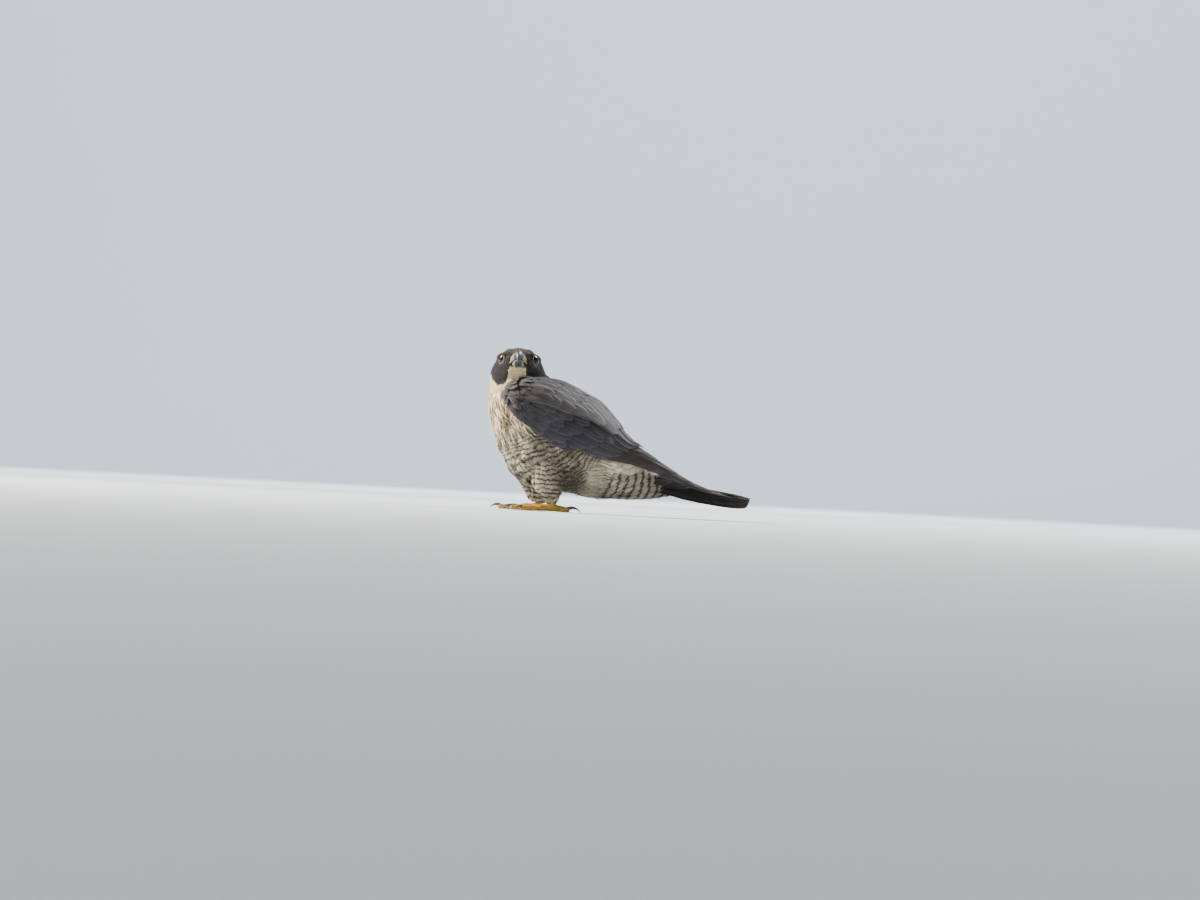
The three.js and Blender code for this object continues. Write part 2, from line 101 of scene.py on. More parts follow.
# Each row, in the head's frame: forward, height, half depth, half width, dip in degrees
UPPER_BILL = [
    (19, 2.2, 8, 9.6, 0),
    (27, 2.6, 7.8, 9, 0),
    (32, 2.6, 7.2, 7.6, 6),
    (36.6, 1.5, 6, 5.8, 24),
    (40, -1.4, 4.4, 4.1, 50),
    (41.8, -5.4, 2.9, 2.7, 75),
    (42, -9, 1.5, 1.5, 92),
    (41.4, -11.4, 0.4, 0.4, 100),
]
LOWER_BILL = [
    (17, -6, 4, 9.4, 0),
    (25, -6.4, 3.8, 8, 0),
    (31.5, -6.6, 3.4, 6, 0),
    (35.8, -6.4, 2.5, 3.8, -6),
    (38.2, -6, 1, 1.4, -10),
]
# Each toe's name, length, turn from straight ahead, claw length and half thickness
TOES = [
    ("inner", 33, 30, 17, 4.1),
    ("middle", 50, 3, 15, 4.1),
    ("outer", 41, -26, 13, 3.7),
    ("hind", 23, 176, 19, 4.1),
]
TAIL_LINE = [(30, 51), (75, 43.5), (120, 37), (150, 33), (168, 29)]
TAIL_HALF_WIDTH = 30
TAIL_DROOP = 13

# The visual model's own sizes, in millimetres and radians
CERE = [
    (22, 2.4, 7, 8.6, 0),
    (25, 2.7, 8.4, 9.6, 0),
    (28.5, 2.8, 8.5, 9.3, 0),
    (31.5, 2.7, 7.9, 8.3, 4),
    (32.6, 2.5, 6.6, 7.2, 6),
]
EYE_DIP = math.radians(10)
LID_ANGLE = math.radians(39)
SKIN_VOXEL = 1.6
FOOT_VOXEL = 0.55
FLESH_GROWTH = 0.35
SOCKET_RADIUS = 9.9
HOLLOW_RADIUS = 7.6
VANE_THICKNESS = 0.42
CAMBER_RADIUS = 420
SMALL_VANE_THICKNESS = 0.2
BODY_RADIUS = 62.0
HEAD_RADIUS = 36.0
LOWEST_COAT = 0.6
BAR_GAP = 5.8
BOLD_GAP = 9.5

# Where the coat changes along the body, in millimetres from its front
BREAST_END = (66, 76)
VENT_START = (150, 160)
BOLD_START = (170, 180)
# How far the painted light and shade beside the wing's lower edge reach, in millimetres
EDGE_BAND = (5, 13)

# Size of one small feather's own patch, as a share of the OFBake map
BAKE_PATCH = 0.003

# The stage and the camera's target in metres, and the camera's lens and sensor in millimetres
FLOOR_FLAT = 8
FLOOR_BEND = 3
FLOOR_RUN = 13.1
LENS = 150
SENSOR = 36
TARGET = (-0.0232, 0, 0.0803)

HEAD_AXES = np.array(
    [
        [0, -math.cos(HEAD_PITCH), math.sin(HEAD_PITCH)],
        [1, 0, 0],
        [0, math.sin(HEAD_PITCH), math.cos(HEAD_PITCH)],
    ]
)


def from_head(points):
    """Points of the head's own frame (forward, left, up) in the source's frame."""
    return np.asarray(points, float) @ HEAD_AXES + HEAD_AT


def to_head(points):
    return (np.asarray(points, float) - HEAD_AT) @ HEAD_AXES.T


# The part's source centres the bird over the origin as its last step. The left eye gives that shift.
EYE_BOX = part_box("eye_left")
SHIFT = (np.array(EYE_BOX[0]) + np.array(EYE_BOX[1])) / 2 / MM - from_head(EYE_AT)


def smooth(x, low, high):
    t = np.clip((np.asarray(x, float) - low) / (high - low), 0, 1)
    return t * t * (3 - 2 * t)


def lerp(a, b, t):
    return a + (b - a) * t


def unit(v):
    return v / np.maximum(np.linalg.norm(v, axis=-1, keepdims=True), 1e-9)


def rows_at(rows, u):
    """The rows of numbers read as a smooth curve at each fraction u of the way."""
    rows = np.asarray(rows, float)
    place = np.clip(np.asarray(u, float), 0, 1) * (len(rows) - 1)
    i = np.minimum(np.floor(place).astype(int), len(rows) - 2)
    f = (place - i)[..., None]
    a, b, c, d = (rows[np.clip(i + k, 0, len(rows) - 1)] for k in (-1, 0, 1, 2))
    slope_b, slope_c, rise = (c - a) / 2, (d - b) / 2, c - b
    return b + f * (slope_b + f * (3 * rise - 2 * slope_b - slope_c + f * (slope_b + slope_c - 2 * rise)))


# Meshes


def add_object(name, mesh, material, replaced=()):
    obj = bpy.data.objects.new(name, mesh)
    bpy.context.scene.collection.objects.link(obj)
    mesh.materials.append(material)
    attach(obj, "root")
    if replaced:
        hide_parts(*replaced)
    return obj


def mesh_of(bm, name):
    """Turn bm into a smooth-shaded mesh. bm can't be used after that."""
    mesh = bpy.data.meshes.new(name)
    bm.to_mesh(mesh)
    bm.free()
    for polygon in mesh.polygons:
        polygon.use_smooth = True
    return mesh


def take_in(bm, part):
    """Add the bmesh part to bm."""
    loose = mesh_of(part, "loose")
    bm.from_mesh(loose)
    bpy.data.meshes.remove(loose)


def relax(bm, verts, times):
    for _ in range(times):
        bmesh.ops.smooth_vert(bm, verts=verts, factor=0.5, use_axis_x=True, use_axis_y=True, use_axis_z=True)


def places_of(mesh):
    """The mesh's vertices in the source's frame, in millimetres."""
    places = np.empty(len(mesh.vertices) * 3)
    mesh.vertices.foreach_get("co", places)
    return places.reshape(-1, 3) / MM - SHIFT


def put_attributes(mesh, maps, colours):
    """Give the mesh UV maps and colour attributes from values by vertex."""
    loops = np.empty(len(mesh.loops), int)
    mesh.loops.foreach_get("vertex_index", loops)
    for name, uv in maps.items():
        mesh.uv_layers.new(name=name).data.foreach_set("uv", uv[loops].astype(np.float32).ravel())
    for name, values in colours.items():
        attribute = mesh.color_attributes.new(name, "FLOAT_COLOR", "POINT")
        attribute.data.foreach_set("color", values.astype(np.float32).ravel())


def put_numbers(mesh, name, values):
    mesh.attributes.new(name, "FLOAT", "POINT").data.foreach_set("value", values.astype(np.float32))


def triangles_mesh(name, points, triangles, maps, colours):
    """A mesh of joined small forms, with its UV maps and colour attributes by vertex."""
    mesh = bpy.data.meshes.new(name)
    mesh.vertices.add(len(points))
    mesh.vertices.foreach_set("co", ((points + SHIFT) * MM).astype(np.float32).ravel())
    mesh.loops.add(triangles.size)
    mesh.loops.foreach_set("vertex_index", triangles.astype(np.int32).ravel())
    mesh.polygons.add(len(triangles))
    mesh.polygons.foreach_set("loop_start", np.arange(0, triangles.size, 3, dtype=np.int32))
    mesh.update(calc_edges=True)
    mesh.polygons.foreach_set("use_smooth", np.ones(len(triangles), bool))
    put_attributes(mesh, maps, colours)
    mesh.validate()
    return mesh


def arrays_of(bm):
    """Vertex places and triangles of a small form that is then repeated."""
    bmesh.ops.triangulate(bm, faces=bm.faces)
    bmesh.ops.recalc_face_normals(bm, faces=bm.faces)
    bm.verts.index_update()
    places = np.array([v.co[:] for v in bm.verts])
    triangles = np.array([[v.index for v in face.verts] for face in bm.faces])
    bm.free()
    # The operators' own order differs between runs, so both lists are sorted
    order = np.lexsort(places.round(5).T)
    triangles = np.argsort(order)[triangles]
    first = triangles.argmin(1)[:, None]
    triangles = np.take_along_axis(triangles, (first + [0, 1, 2]) % 3, 1)
    return places[order], triangles[np.lexsort(triangles.T)]


def lock_form(cuts):
    """A three-sided spindle: x and y round its section, z from 0 at the root to 1 at the tip."""
    bm = bmesh.new()
    bmesh.ops.create_cone(bm, cap_ends=True, segments=3, radius1=1, radius2=0, depth=1)
    bmesh.ops.translate(bm, verts=bm.verts, vec=(0, 0, 0.5))
    for height in cuts:
        geometry = bm.verts[:] + bm.edges[:] + bm.faces[:]
        bmesh.ops.bisect_plane(bm, geom=geometry, plane_co=(0, 0, height), plane_no=(0, 0, 1))
    places, triangles = arrays_of(bm)
    shrink = np.maximum(1 - places[:, 2], 1e-6)
    section = np.where(places[:, 2:] < 0.999, places[:, :2] / shrink[:, None], 0)
    return np.column_stack([section, places[:, 2]]), triangles


def vane_form(across, along):
    """A thin closed plate: x from -1 to 1 across, y from 0 to 1 along, z 0 below and 1 on top."""
    bm = bmesh.new()
    bmesh.ops.create_grid(bm, x_segments=across, y_segments=along, size=1)
    for v in bm.verts:
        v.co.y = 1 - (0.5 - v.co.y / 2) ** 1.7
    result = bmesh.ops.extrude_face_region(bm, geom=bm.faces[:], use_keep_orig=True)
    for v in result["geom"]:
        if isinstance(v, bmesh.types.BMVert):
            v.co.z = 1
    return arrays_of(bm)


def repeat(triangles, size, count):
    return (triangles[None] + (np.arange(count) * size)[:, None, None]).reshape(-1, 3)


def loft(sections, sides, rings, close=True):
    """A closed skin round a curve. sections(t, angle) gives a point in millimetres of the source's frame."""
    bm = bmesh.new()
    bmesh.ops.create_grid(bm, x_segments=sides, y_segments=rings, size=1)
    angle = np.array([(v.co.x + 1) * math.pi for v in bm.verts])
    t = np.array([(v.co.y + 1) / 2 for v in bm.verts])
    for v, place in zip(bm.verts, (sections(t, angle) + SHIFT) * MM):
        v.co = place
    bmesh.ops.remove_doubles(bm, verts=bm.verts, dist=1e-6)
    if close:
        bmesh.ops.holes_fill(bm, edges=bm.edges, sides=0)
    bmesh.ops.recalc_face_normals(bm, faces=bm.faces)
    return bm


# The wing's and the tail's surfaces


def wing_point(u, v):
    low_x, low_z, low_y, up_x, up_z, up_y, side_y = np.moveaxis(rows_at(WING, u), -1, 0)
    low = np.stack([low_x, low_y, low_z], -1)
    up = np.stack([up_x, up_y, up_z], -1)
    side = np.stack([lerp(low_x, up_x, 0.75), side_y, lerp(low_z, up_z, 0.8)], -1)
    v = np.asarray(v)[..., None]
    return (1 - v) ** 2 * low + 2 * v * (1 - v) * side + v * v * up


def tail_point(s, side):
    x, z = np.moveaxis(rows_at(TAIL_LINE, s), -1, 0)
    spread = TAIL_HALF_WIDTH * lerp(0.62, 1, s)
    return np.stack([x, side * spread, z - TAIL_DROOP * side * side * lerp(2.5, 1, s)], -1)


def surface_frame(point_at, u, v, outward):
    """Places on a surface, with the direction along it and its normal there."""
    step = 0.004
    u0, u1 = np.clip(u - step, 0, 1), np.clip(u + step, 0, 1)
    onward = unit(point_at(u1, v) - point_at(u0, v))
    across = unit(point_at(u, v + step) - point_at(u, v - step))
    normal = unit(np.cross(onward, across))
    facing = np.sign((normal * outward).sum(-1, keepdims=True))
    return point_at(u, v), onward, normal * np.where(facing == 0, 1, facing)


def feather_widths(s, form):
    """Width of a feather along its length, as a share of its full width."""
    if form == "flight":
        return (0.45 + 0.55 * smooth(s, 0, 0.45)) * (1 - s**4.5) ** 0.75
    if form == "pointed":
        return (0.5 + 0.5 * smooth(s, 0, 0.4)) * (1 - s**2.6) ** 0.85
    if form == "tail":
        return (0.7 + 0.3 * smooth(s, 0, 0.4)) * (1 - s**9) ** 0.5
    return (0.55 + 0.45 * smooth(s, 0, 0.55)) * (1 - s**6) ** 0.5


VANE = vane_form(6, 11)


class Feathers:
    """Large feathers laid on a surface, gathered until they are made one mesh."""

    def __init__(self, point_at, outward, seed):
        self.point_at = point_at
        self.outward = np.array(outward, float)
        self.rng = np.random.default_rng(seed)
        self.points, self.vane, self.tone, self.count = [], [], [], 0

    def row(self, count, root, tip, width, lift, form, tone, tilt=0.45, shaft=0.0, ragged=0.012):
        """Lay a row. root and tip are the places of its first and last feather, lift their heights."""
        places, _ = VANE
        f = np.linspace(0, 1, count)[:, None] if count > 1 else np.zeros((1, 1))
        a, s, h = (places[:, k][None] for k in range(3))
        jitter = self.rng.normal(0, ragged, (count, 1))
        u = lerp(lerp(root[0][0], root[1][0], f), lerp(tip[0][0], tip[1][0], f) + jitter, s)
        v = lerp(lerp(root[0][1], root[1][1], f), lerp(tip[0][1], tip[1][1], f) + jitter * 0.4, s)
        point, onward, normal = surface_frame(self.point_at, u, v, self.outward)
        full = lerp(width[0], width[1], f)
        share = feather_widths(s, form)
        side = unit(np.cross(normal, onward))
        across = a * full * share / 2
        wave = self.rng.normal(0, 1, (count, 3, 1))
        edge = np.abs(a) ** 3 * (1 - (s - 0.6) ** 2)
        across = across + edge * 0.03 * full * np.sin(s * 9 + wave[:, 0] * 3)
        rise = np.clip(s * 1.5, 0, 1)
        height = lerp(lerp(lift[0][0], lift[0][1], f), lerp(lift[1][0], lift[1][1], f), rise)
        height = height - a * tilt * share - (a * full * share) ** 2 / CAMBER_RADIUS
        height = height + wave[:, 1] * 0.12 + 0.25 * np.sin(s * 5 + wave[:, 2] * 2) * s * a
        height = height + h * VANE_THICKNESS
        self.points.append((point + side * across[..., None] + normal * height[..., None]).reshape(-1, 3))
        split = np.where(a < shaft, (a + 1) / (shaft + 1) / 2, 0.5 + (a - shaft) / (1 - shaft) / 2)
        ones = np.ones((count, 1))
        self.vane.append(np.stack([split * ones, s * ones], -1).reshape(-1, 2))
        value = np.clip(self.rng.normal(0.5, 0.2, (count, 1)), 0, 1)
        tones = [tone[k] * ones * np.ones_like(s) for k in range(3)] + [value * np.ones_like(s)]
        self.tone.append(np.stack(tones, -1).reshape(-1, 4))
        self.count += count

    def mesh(self, name, mirror=False):
        places, triangles = VANE
        points = np.concatenate(self.points)
        faces = repeat(triangles, len(places), self.count)
        if mirror:
            points = points * [1, -1, 1]
        vane = np.concatenate(self.vane)
        first = points[faces[:, 0]]
        # A closed plate that came out inside out has a negative volume
        volume = np.einsum("ij,ij->i", first, np.cross(points[faces[:, 1]], points[faces[:, 2]])).sum()
        if volume < 0:
            faces = faces[:, ::-1]
        side = math.ceil(math.sqrt(self.count))
        index = np.repeat(np.arange(self.count), len(places))
        cell = np.stack([index % side, index // side], -1)
        bake = (cell + 0.06 + 0.88 * vane) / side
        tones = {"Tone": np.concatenate(self.tone)}
        return triangles_mesh(name, points, faces, {"OFBake": bake, "Vane": vane}, tones)


# Where the body's parts and markings are


BODY_STEPS = 150
BODY_ROWS = rows_at(BODY, np.linspace(0, 1, BODY_STEPS))
BODY_CENTRE = np.stack([BODY_ROWS[:, 0] + BODY_ROWS[:, 2], BODY_ROWS[:, 1] + BODY_ROWS[:, 3]], -1) / 2
BODY_UP = np.stack([BODY_ROWS[:, 2] - BODY_ROWS[:, 0], BODY_ROWS[:, 3] - BODY_ROWS[:, 1]], -1) / 2
BODY_LINE = unit(np.gradient(BODY_CENTRE, axis=0))
BODY_ALONG = np.concatenate([[0], np.cumsum(np.linalg.norm(np.diff(BODY_CENTRE, axis=0), axis=1))])
BELLY_ALONG = np.concatenate([[0], np.cumsum(np.linalg.norm(np.diff(BODY_ROWS[:, :2], axis=0), axis=1))])


def body_place(points):
    """Distance along the body, place from breast (-1) to back (1) and the body's direction there."""
    half = np.linalg.norm(BODY_UP, axis=1)
    up = BODY_UP / half[:, None]
    best = np.full(len(points), 1e9)
    index = np.zeros(len(points), int)
    for k in range(BODY_STEPS):
        dx = points[:, 0] - BODY_CENTRE[k, 0]
        dz = points[:, 2] - BODY_CENTRE[k, 1]
        off = np.abs(dx * up[k, 1] - dz * up[k, 0]) + 0.02 * np.hypot(dx, dz)
        closer = off < best
        best[closer] = off[closer]
        index[closer] = k
    offset = points[:, [0, 2]] - BODY_CENTRE[index]
    place = (offset * up[index]).sum(1) / half[index]
    line = BODY_LINE[index]
    along = BODY_ALONG[index] + (offset * line).sum(1)
    return along, place, np.stack([line[:, 0], np.zeros(len(points)), line[:, 1]], -1)


def head_share(points):
    """1 on the head, 0 on the body, soft between them."""
    local = to_head(points) - [-5, 0, -3]
    reach = np.linalg.norm(local / [34, 36, 32], axis=1)
    return 1 - smooth(reach, 1.0, 1.35)


def thigh_share(points):
    share = np.zeros(len(points))
    for x, y, _ in FEET.values():
        ahead = points[:, 0] - x - 3
        off = np.hypot(ahead / np.where(ahead > 0, 21, 31), (points[:, 1] - y * 1.12) / 23)
        low = 1 - smooth(points[:, 2] + 0.25 * (points[:, 0] - x), 52, 72)
        share = np.maximum(share, (1 - smooth(off, 0.95, 1.25)) * low)
    return share


def wobble(points, scale, seed):
    """Soft repeatable unevenness between -1 and 1."""
    rng = np.random.default_rng(seed)
    total = np.zeros(len(points))
    for k in range(5):
        direction = unit(rng.normal(0, 1, 3)) * scale * (1 + 0.6 * k)
        total += np.sin(points @ direction + rng.uniform(0, 6.3)) / (1 + 0.4 * k)
    return total / 2.4


def bar_phase(points, on_thigh, bold):
    """Counts the bars along the body, down the thighs, and in arcs under the tail."""
    along, place, _ = body_place(points)
    # The belly's own line is longer than the body's middle line
    longer = np.interp(along, BODY_ALONG, BELLY_ALONG - BODY_ALONG) * np.clip(-place, 0, 1.2)
    phase = np.where(on_thigh, -points[:, 2], along + longer) / BAR_GAP
    return np.where(bold, (along + 7 * place**2) / BOLD_GAP, phase)


def patch(points, x, z, wide, high):
    """An oval patch seen from the side: 1 in its middle, fading outwards."""
    return np.exp(-(((points[:, 0] - x) / wide) ** 2) - ((points[:, 2] - z) / high) ** 2)


def markings(points):
    """Shares of each marking between 0 and 1, by name, and the phase of the bars."""
    along, place, _ = body_place(points)
    head = head_share(points)
    thigh = thigh_share(points)
    local = to_head(points)
    forward, left, up = local.T
    rough = wobble(points, 0.35, 5) + 0.8 * wobble(points, 1.3, 8)

    # The pale throat widens down to the breast, between the dark moustaches
    half = 10.5 + 0.16 * np.clip(-up - 10, 0, 30) + rough * 1.5
    throat = (1 - smooth(np.abs(left) - half, -1.5, 1.8)) * (1 - smooth(up + rough, -10.5, -7.5))
    cheek = smooth(np.abs(left), 19.5, 23.5) * (1 - smooth(up + rough, -10, -5))
    cheek *= (1 - smooth(forward, 4, 10)) * smooth(forward, -26, -20) * np.where(left > 0, 0.6, 1)
    lowest = smooth(up + rough * 1.5, -29, -24)
    nape = smooth(-forward, 8, 16) * smooth(up, -24, -14)
    hood = head * np.clip(1 - throat - 0.85 * cheek, 0, 1) * np.clip(lowest + nape, 0, 1)
    hood = smooth(hood, 0.3, 0.62)

    line = lerp(0.3, 0.74, smooth(along, 120, 165)) - 0.22 * smooth(along, 165, 200)
    slate = smooth(place + rough * 0.07, line, line + 0.2) * (1 - thigh)
    slate = np.maximum(slate, head * smooth(-forward, 6, 18) * smooth(up, -40, -25))
    slate *= 1 - hood
    bars = smooth(along + rough * 6, 58, 80) * (1 - slate) * (1 - hood)
    bars = np.maximum(bars, thigh * 0.9)
    vent = smooth(along, *VENT_START) * (1 - smooth(along, *BOLD_START)) * (1 - thigh)
    bars *= 1 - 0.8 * vent
    parted = 1.3 * patch(points, -143, 121, 6, 20) * (points[:, 1] < -8)
    # A brown patch behind the thigh: soiling together with painted shade where the thigh shades the vent
    soil_and_painted_shade = 1.5 * patch(points, -62, 44, 14, 17)
    # Painted light under the wing's rear edge: a pale patch with its bars and painted shade taken out, where
    # the sky lights the flank feathers. Painted shadow under its front part, over feathers that are greyer
    # there
    edge = wing_edge(points)
    down = edge * smooth(points[:, 0], -34, -18) * (1 - smooth(points[:, 0], 8, 24))
    # Painted shadow under the wing's front part, over feathers that are greyer there
    painted_wing_shadow = edge * (1 - smooth(points[:, 0], -60, -40)) * smooth(points[:, 0], -125, -105)
    # The crown is paler and browner, with a painted sheen on top of the head
    crown = smooth(up, 8, 20) * smooth(forward, -30, 10)
    buff = np.maximum(0.9 * (1 - smooth(along, 20, 75)), 0.22 * (1 - smooth(along, 60, 160))) * (1 - hood)
    buff = np.where(hood > 0.5, crown, buff)
    bold = smooth(along, *BOLD_START)
    # The painted sky-lit patch under the wing's rear edge has no bars
    bars *= 1 - 0.95 * down
    # Painted shade: the belly darker towards its rear and uneven, deeper under the wing's front part and
    # behind the thigh, none on the sky-lit patch or the slate
    shade = 0.72 * smooth(along, 30, 100) * (1 - 0.45 * vent) + 0.25 * wobble(points, 0.2, 9)
    shade = (shade + 0.45 * painted_wing_shadow + 0.3 * soil_and_painted_shade) * (1 - 0.8 * down) * (1 - slate)
    phase = bar_phase(points, thigh > 0.5, bold > 0.5)
    return {
        "hood": hood,
        "bars": bars,
        "buff": buff,
        "slate": slate,
        "phase": phase,
        "bold": bold,
        # The parted channel also carries the soiling and painted shade behind the thigh
        "parted": np.clip(parted + soil_and_painted_shade, 0, 1),
        "shade": np.clip(shade, 0, 1),
    }


def wing_edge(points):
    """1 along the folded wing's lower edge, fading to 0 beside it."""
    line = wing_point(np.linspace(0.1, 0.95, 90), np.zeros(90))[:, [0, 2]]
    nearest = np.full(len(points), 1e9)
    for place in line:
        nearest = np.minimum(nearest, np.hypot(*(points[:, [0, 2]] - place).T))
    return 1 - smooth(nearest, *EDGE_BAND)


def bake_map(points):
    """An unwrap of the skin's own shape: round the body's line, and round the head's axis beside it."""
    along, _, _ = body_place(points)
    index = np.searchsorted(BODY_ALONG, along).clip(0, BODY_STEPS - 1)
    offset = points[:, [0, 2]] - BODY_CENTRE[index]
    up = BODY_UP[index] / np.linalg.norm(BODY_UP[index], axis=1)[:, None]
    turn = np.arctan2(points[:, 1], (offset * up).sum(1)) / (2 * math.pi) + 0.5
    body = np.stack([0.02 + 0.56 * along / BODY_ALONG[-1], 0.02 + 0.96 * turn], -1)
    local = to_head(points)
    around = np.arctan2(local[:, 1], local[:, 2]) / (2 * math.pi) + 0.5
    back = (40 - local[:, 0]) / 85
    head = np.stack([0.62 + 0.36 * np.clip(back, 0, 1), 0.02 + 0.96 * around], -1)
    return np.where((head_share(points) > 0.5)[:, None], head, body)


# Shader nodes


def node(tree, kind, inputs=None, **settings):
    """A node whose inputs are given by name or number: a value, or another node's output."""
    made = tree.nodes.new(kind)
    for key, value in settings.items():
        setattr(made, key, value)
    for key, value in (inputs or {}).items():
        if isinstance(value, bpy.types.NodeSocket):
            tree.links.new(value, made.inputs[key])
        else:
            made.inputs[key].default_value = value
    return made


def maths(tree, operation, a, b=0.0, c=0.0):
    return node(tree, "ShaderNodeMath", {0: a, 1: b, 2: c}, operation=operation).outputs[0]


def plus(tree, a, b):
    return maths(tree, "ADD", a, b)


def minus(tree, a, b):
    return maths(tree, "SUBTRACT", a, b)


def times(tree, a, b):
    return maths(tree, "MULTIPLY", a, b)


def scaled(tree, a, by, start):
    """a times by, added to start."""
    return maths(tree, "MULTIPLY_ADD", a, by, start)


def axes_of(tree, place):
    return node(tree, "ShaderNodeSeparateXYZ", {0: place}).outputs


def object_place(tree):
    return node(tree, "ShaderNodeTexCoord").outputs["Object"]


def map_axes(tree, name):
    """The two axes of the piece's own UV map."""
    return axes_of(tree, node(tree, "ShaderNodeUVMap", uv_map=name).outputs[0])


def attribute_parts(tree, name):
    """The three channels of a colour attribute, and its alpha."""
    made = node(tree, "ShaderNodeAttribute", attribute_name=name).outputs
    channels = node(tree, "ShaderNodeSeparateColor", {0: made["Color"]}).outputs
    return channels[0], channels[1], channels[2], made["Alpha"]


def ramp(tree, value, low, high, first=0.0, last=1.0):
    """The first number below low and the last above high, soft between them."""
    inputs = {"Value": value, "From Min": low, "From Max": high, "To Min": first, "To Max": last}
    return node(tree, "ShaderNodeMapRange", inputs, interpolation_type="SMOOTHSTEP").outputs["Result"]


def rgba(colour):
    return (colour[0], colour[1], colour[2], 1.0)


def mix(tree, factor, a, b, blend_type="MIX"):
    made = tree.nodes.new("ShaderNodeMix")
    made.data_type = "RGBA"
    made.blend_type = blend_type
    for key, value in ((0, factor), (6, a), (7, b)):
        if isinstance(value, bpy.types.NodeSocket):
            tree.links.new(value, made.inputs[key])
        else:
            made.inputs[key].default_value = value
    return made.outputs[2]


def darkened(tree, colour, value):
    grey = node(tree, "ShaderNodeCombineXYZ", {0: value, 1: value, 2: value}).outputs[0]
    return mix(tree, 1.0, colour, grey, "MULTIPLY")


def noise(tree, scale, detail=3.0, stretch=(1, 1, 1)):
    mapping = node(tree, "ShaderNodeMapping", {"Vector": object_place(tree), "Scale": stretch})
    inputs = {"Vector": mapping.outputs[0], "Scale": scale, "Detail": detail}
    return node(tree, "ShaderNodeTexNoise", inputs).outputs["Fac"]


def start_group(name, inputs, outputs):
    tree = bpy.data.node_groups.new(name, "ShaderNodeTree")
    for label, kind, value in inputs:
        tree.interface.new_socket(name=label, in_out="INPUT", socket_type=kind).default_value = value
    for label, kind in outputs:
        tree.interface.new_socket(name=label, in_out="OUTPUT", socket_type=kind)
    return tree, tree.nodes.new("NodeGroupInput").outputs, tree.nodes.new("NodeGroupOutput").inputs


def barb_group():
    """The fine structure of a feather: shaft, barbs that slant off it, and the worn fringe."""
    tree, given, out = start_group(
        "Feather Barbs",
        [("Barbs", "NodeSocketFloat", 60.0), ("Fringe", "NodeSocketFloat", 0.12)],
        [("Shaft", "NodeSocketFloat"), ("Fringe", "NodeSocketFloat"), ("Height", "NodeSocketFloat")],
    )
    vane = map_axes(tree, "Vane")
    off = maths(tree, "ABSOLUTE", minus(tree, vane[0], 0.5))
    slant = plus(tree, vane[1], times(tree, off, -0.55))
    uneven = times(tree, noise(tree, 260), 0.05)
    phase = times(tree, plus(tree, slant, uneven), given["Barbs"])
    barbs = maths(tree, "SINE", phase)
    shaft = minus(tree, 1.0, ramp(tree, off, 0.012, 0.05))
    side = minus(tree, 0.5, off)
    end = minus(tree, 1.0, vane[1])
    near = maths(tree, "MINIMUM", side, end)
    near = plus(tree, near, times(tree, minus(tree, noise(tree, 420), 0.5), 0.07))
    reach = times(tree, given["Fringe"], 0.35)
    fringe = ramp(tree, near, reach, given["Fringe"], 1.0, 0.0)
    tree.links.new(shaft, out["Shaft"])
    tree.links.new(fringe, out["Fringe"])
    tree.links.new(plus(tree, barbs, times(tree, shaft, 2.0)), out["Height"])
    return tree


def bar_group():
    """Dark wavy bars across the lie of the feathers."""
    tree, given, out = start_group(
        "Plumage Bars",
        [("Waver", "NodeSocketFloat", 0.5), ("Width", "NodeSocketFloat", 0.35)],
        [("Bars", "NodeSocketFloat")],
    )
    phase = map_axes(tree, "Lie")[0]
    marks = node(tree, "ShaderNodeAttribute", attribute_name="Marks")
    zone = node(tree, "ShaderNodeAttribute", attribute_name="Zone")
    bold = zone.outputs["Alpha"]
    uneven = times(tree, given["Waver"], scaled(tree, bold, -0.75, 1.0))
    waver = times(tree, minus(tree, noise(tree, 85, 2), 0.5), uneven)
    apart = scaled(tree, bold, -0.17, 0.2)
    own = times(tree, minus(tree, marks.outputs["Alpha"], 0.5), apart)
    place = plus(tree, plus(tree, phase, waver), own)
    wave = maths(tree, "COSINE", times(tree, place, 2 * math.pi))
    level = minus(tree, 1.0, times(tree, given["Width"], 2.0))
    tree.links.new(ramp(tree, wave, level, plus(tree, level, 0.4)), out["Bars"])
    return tree


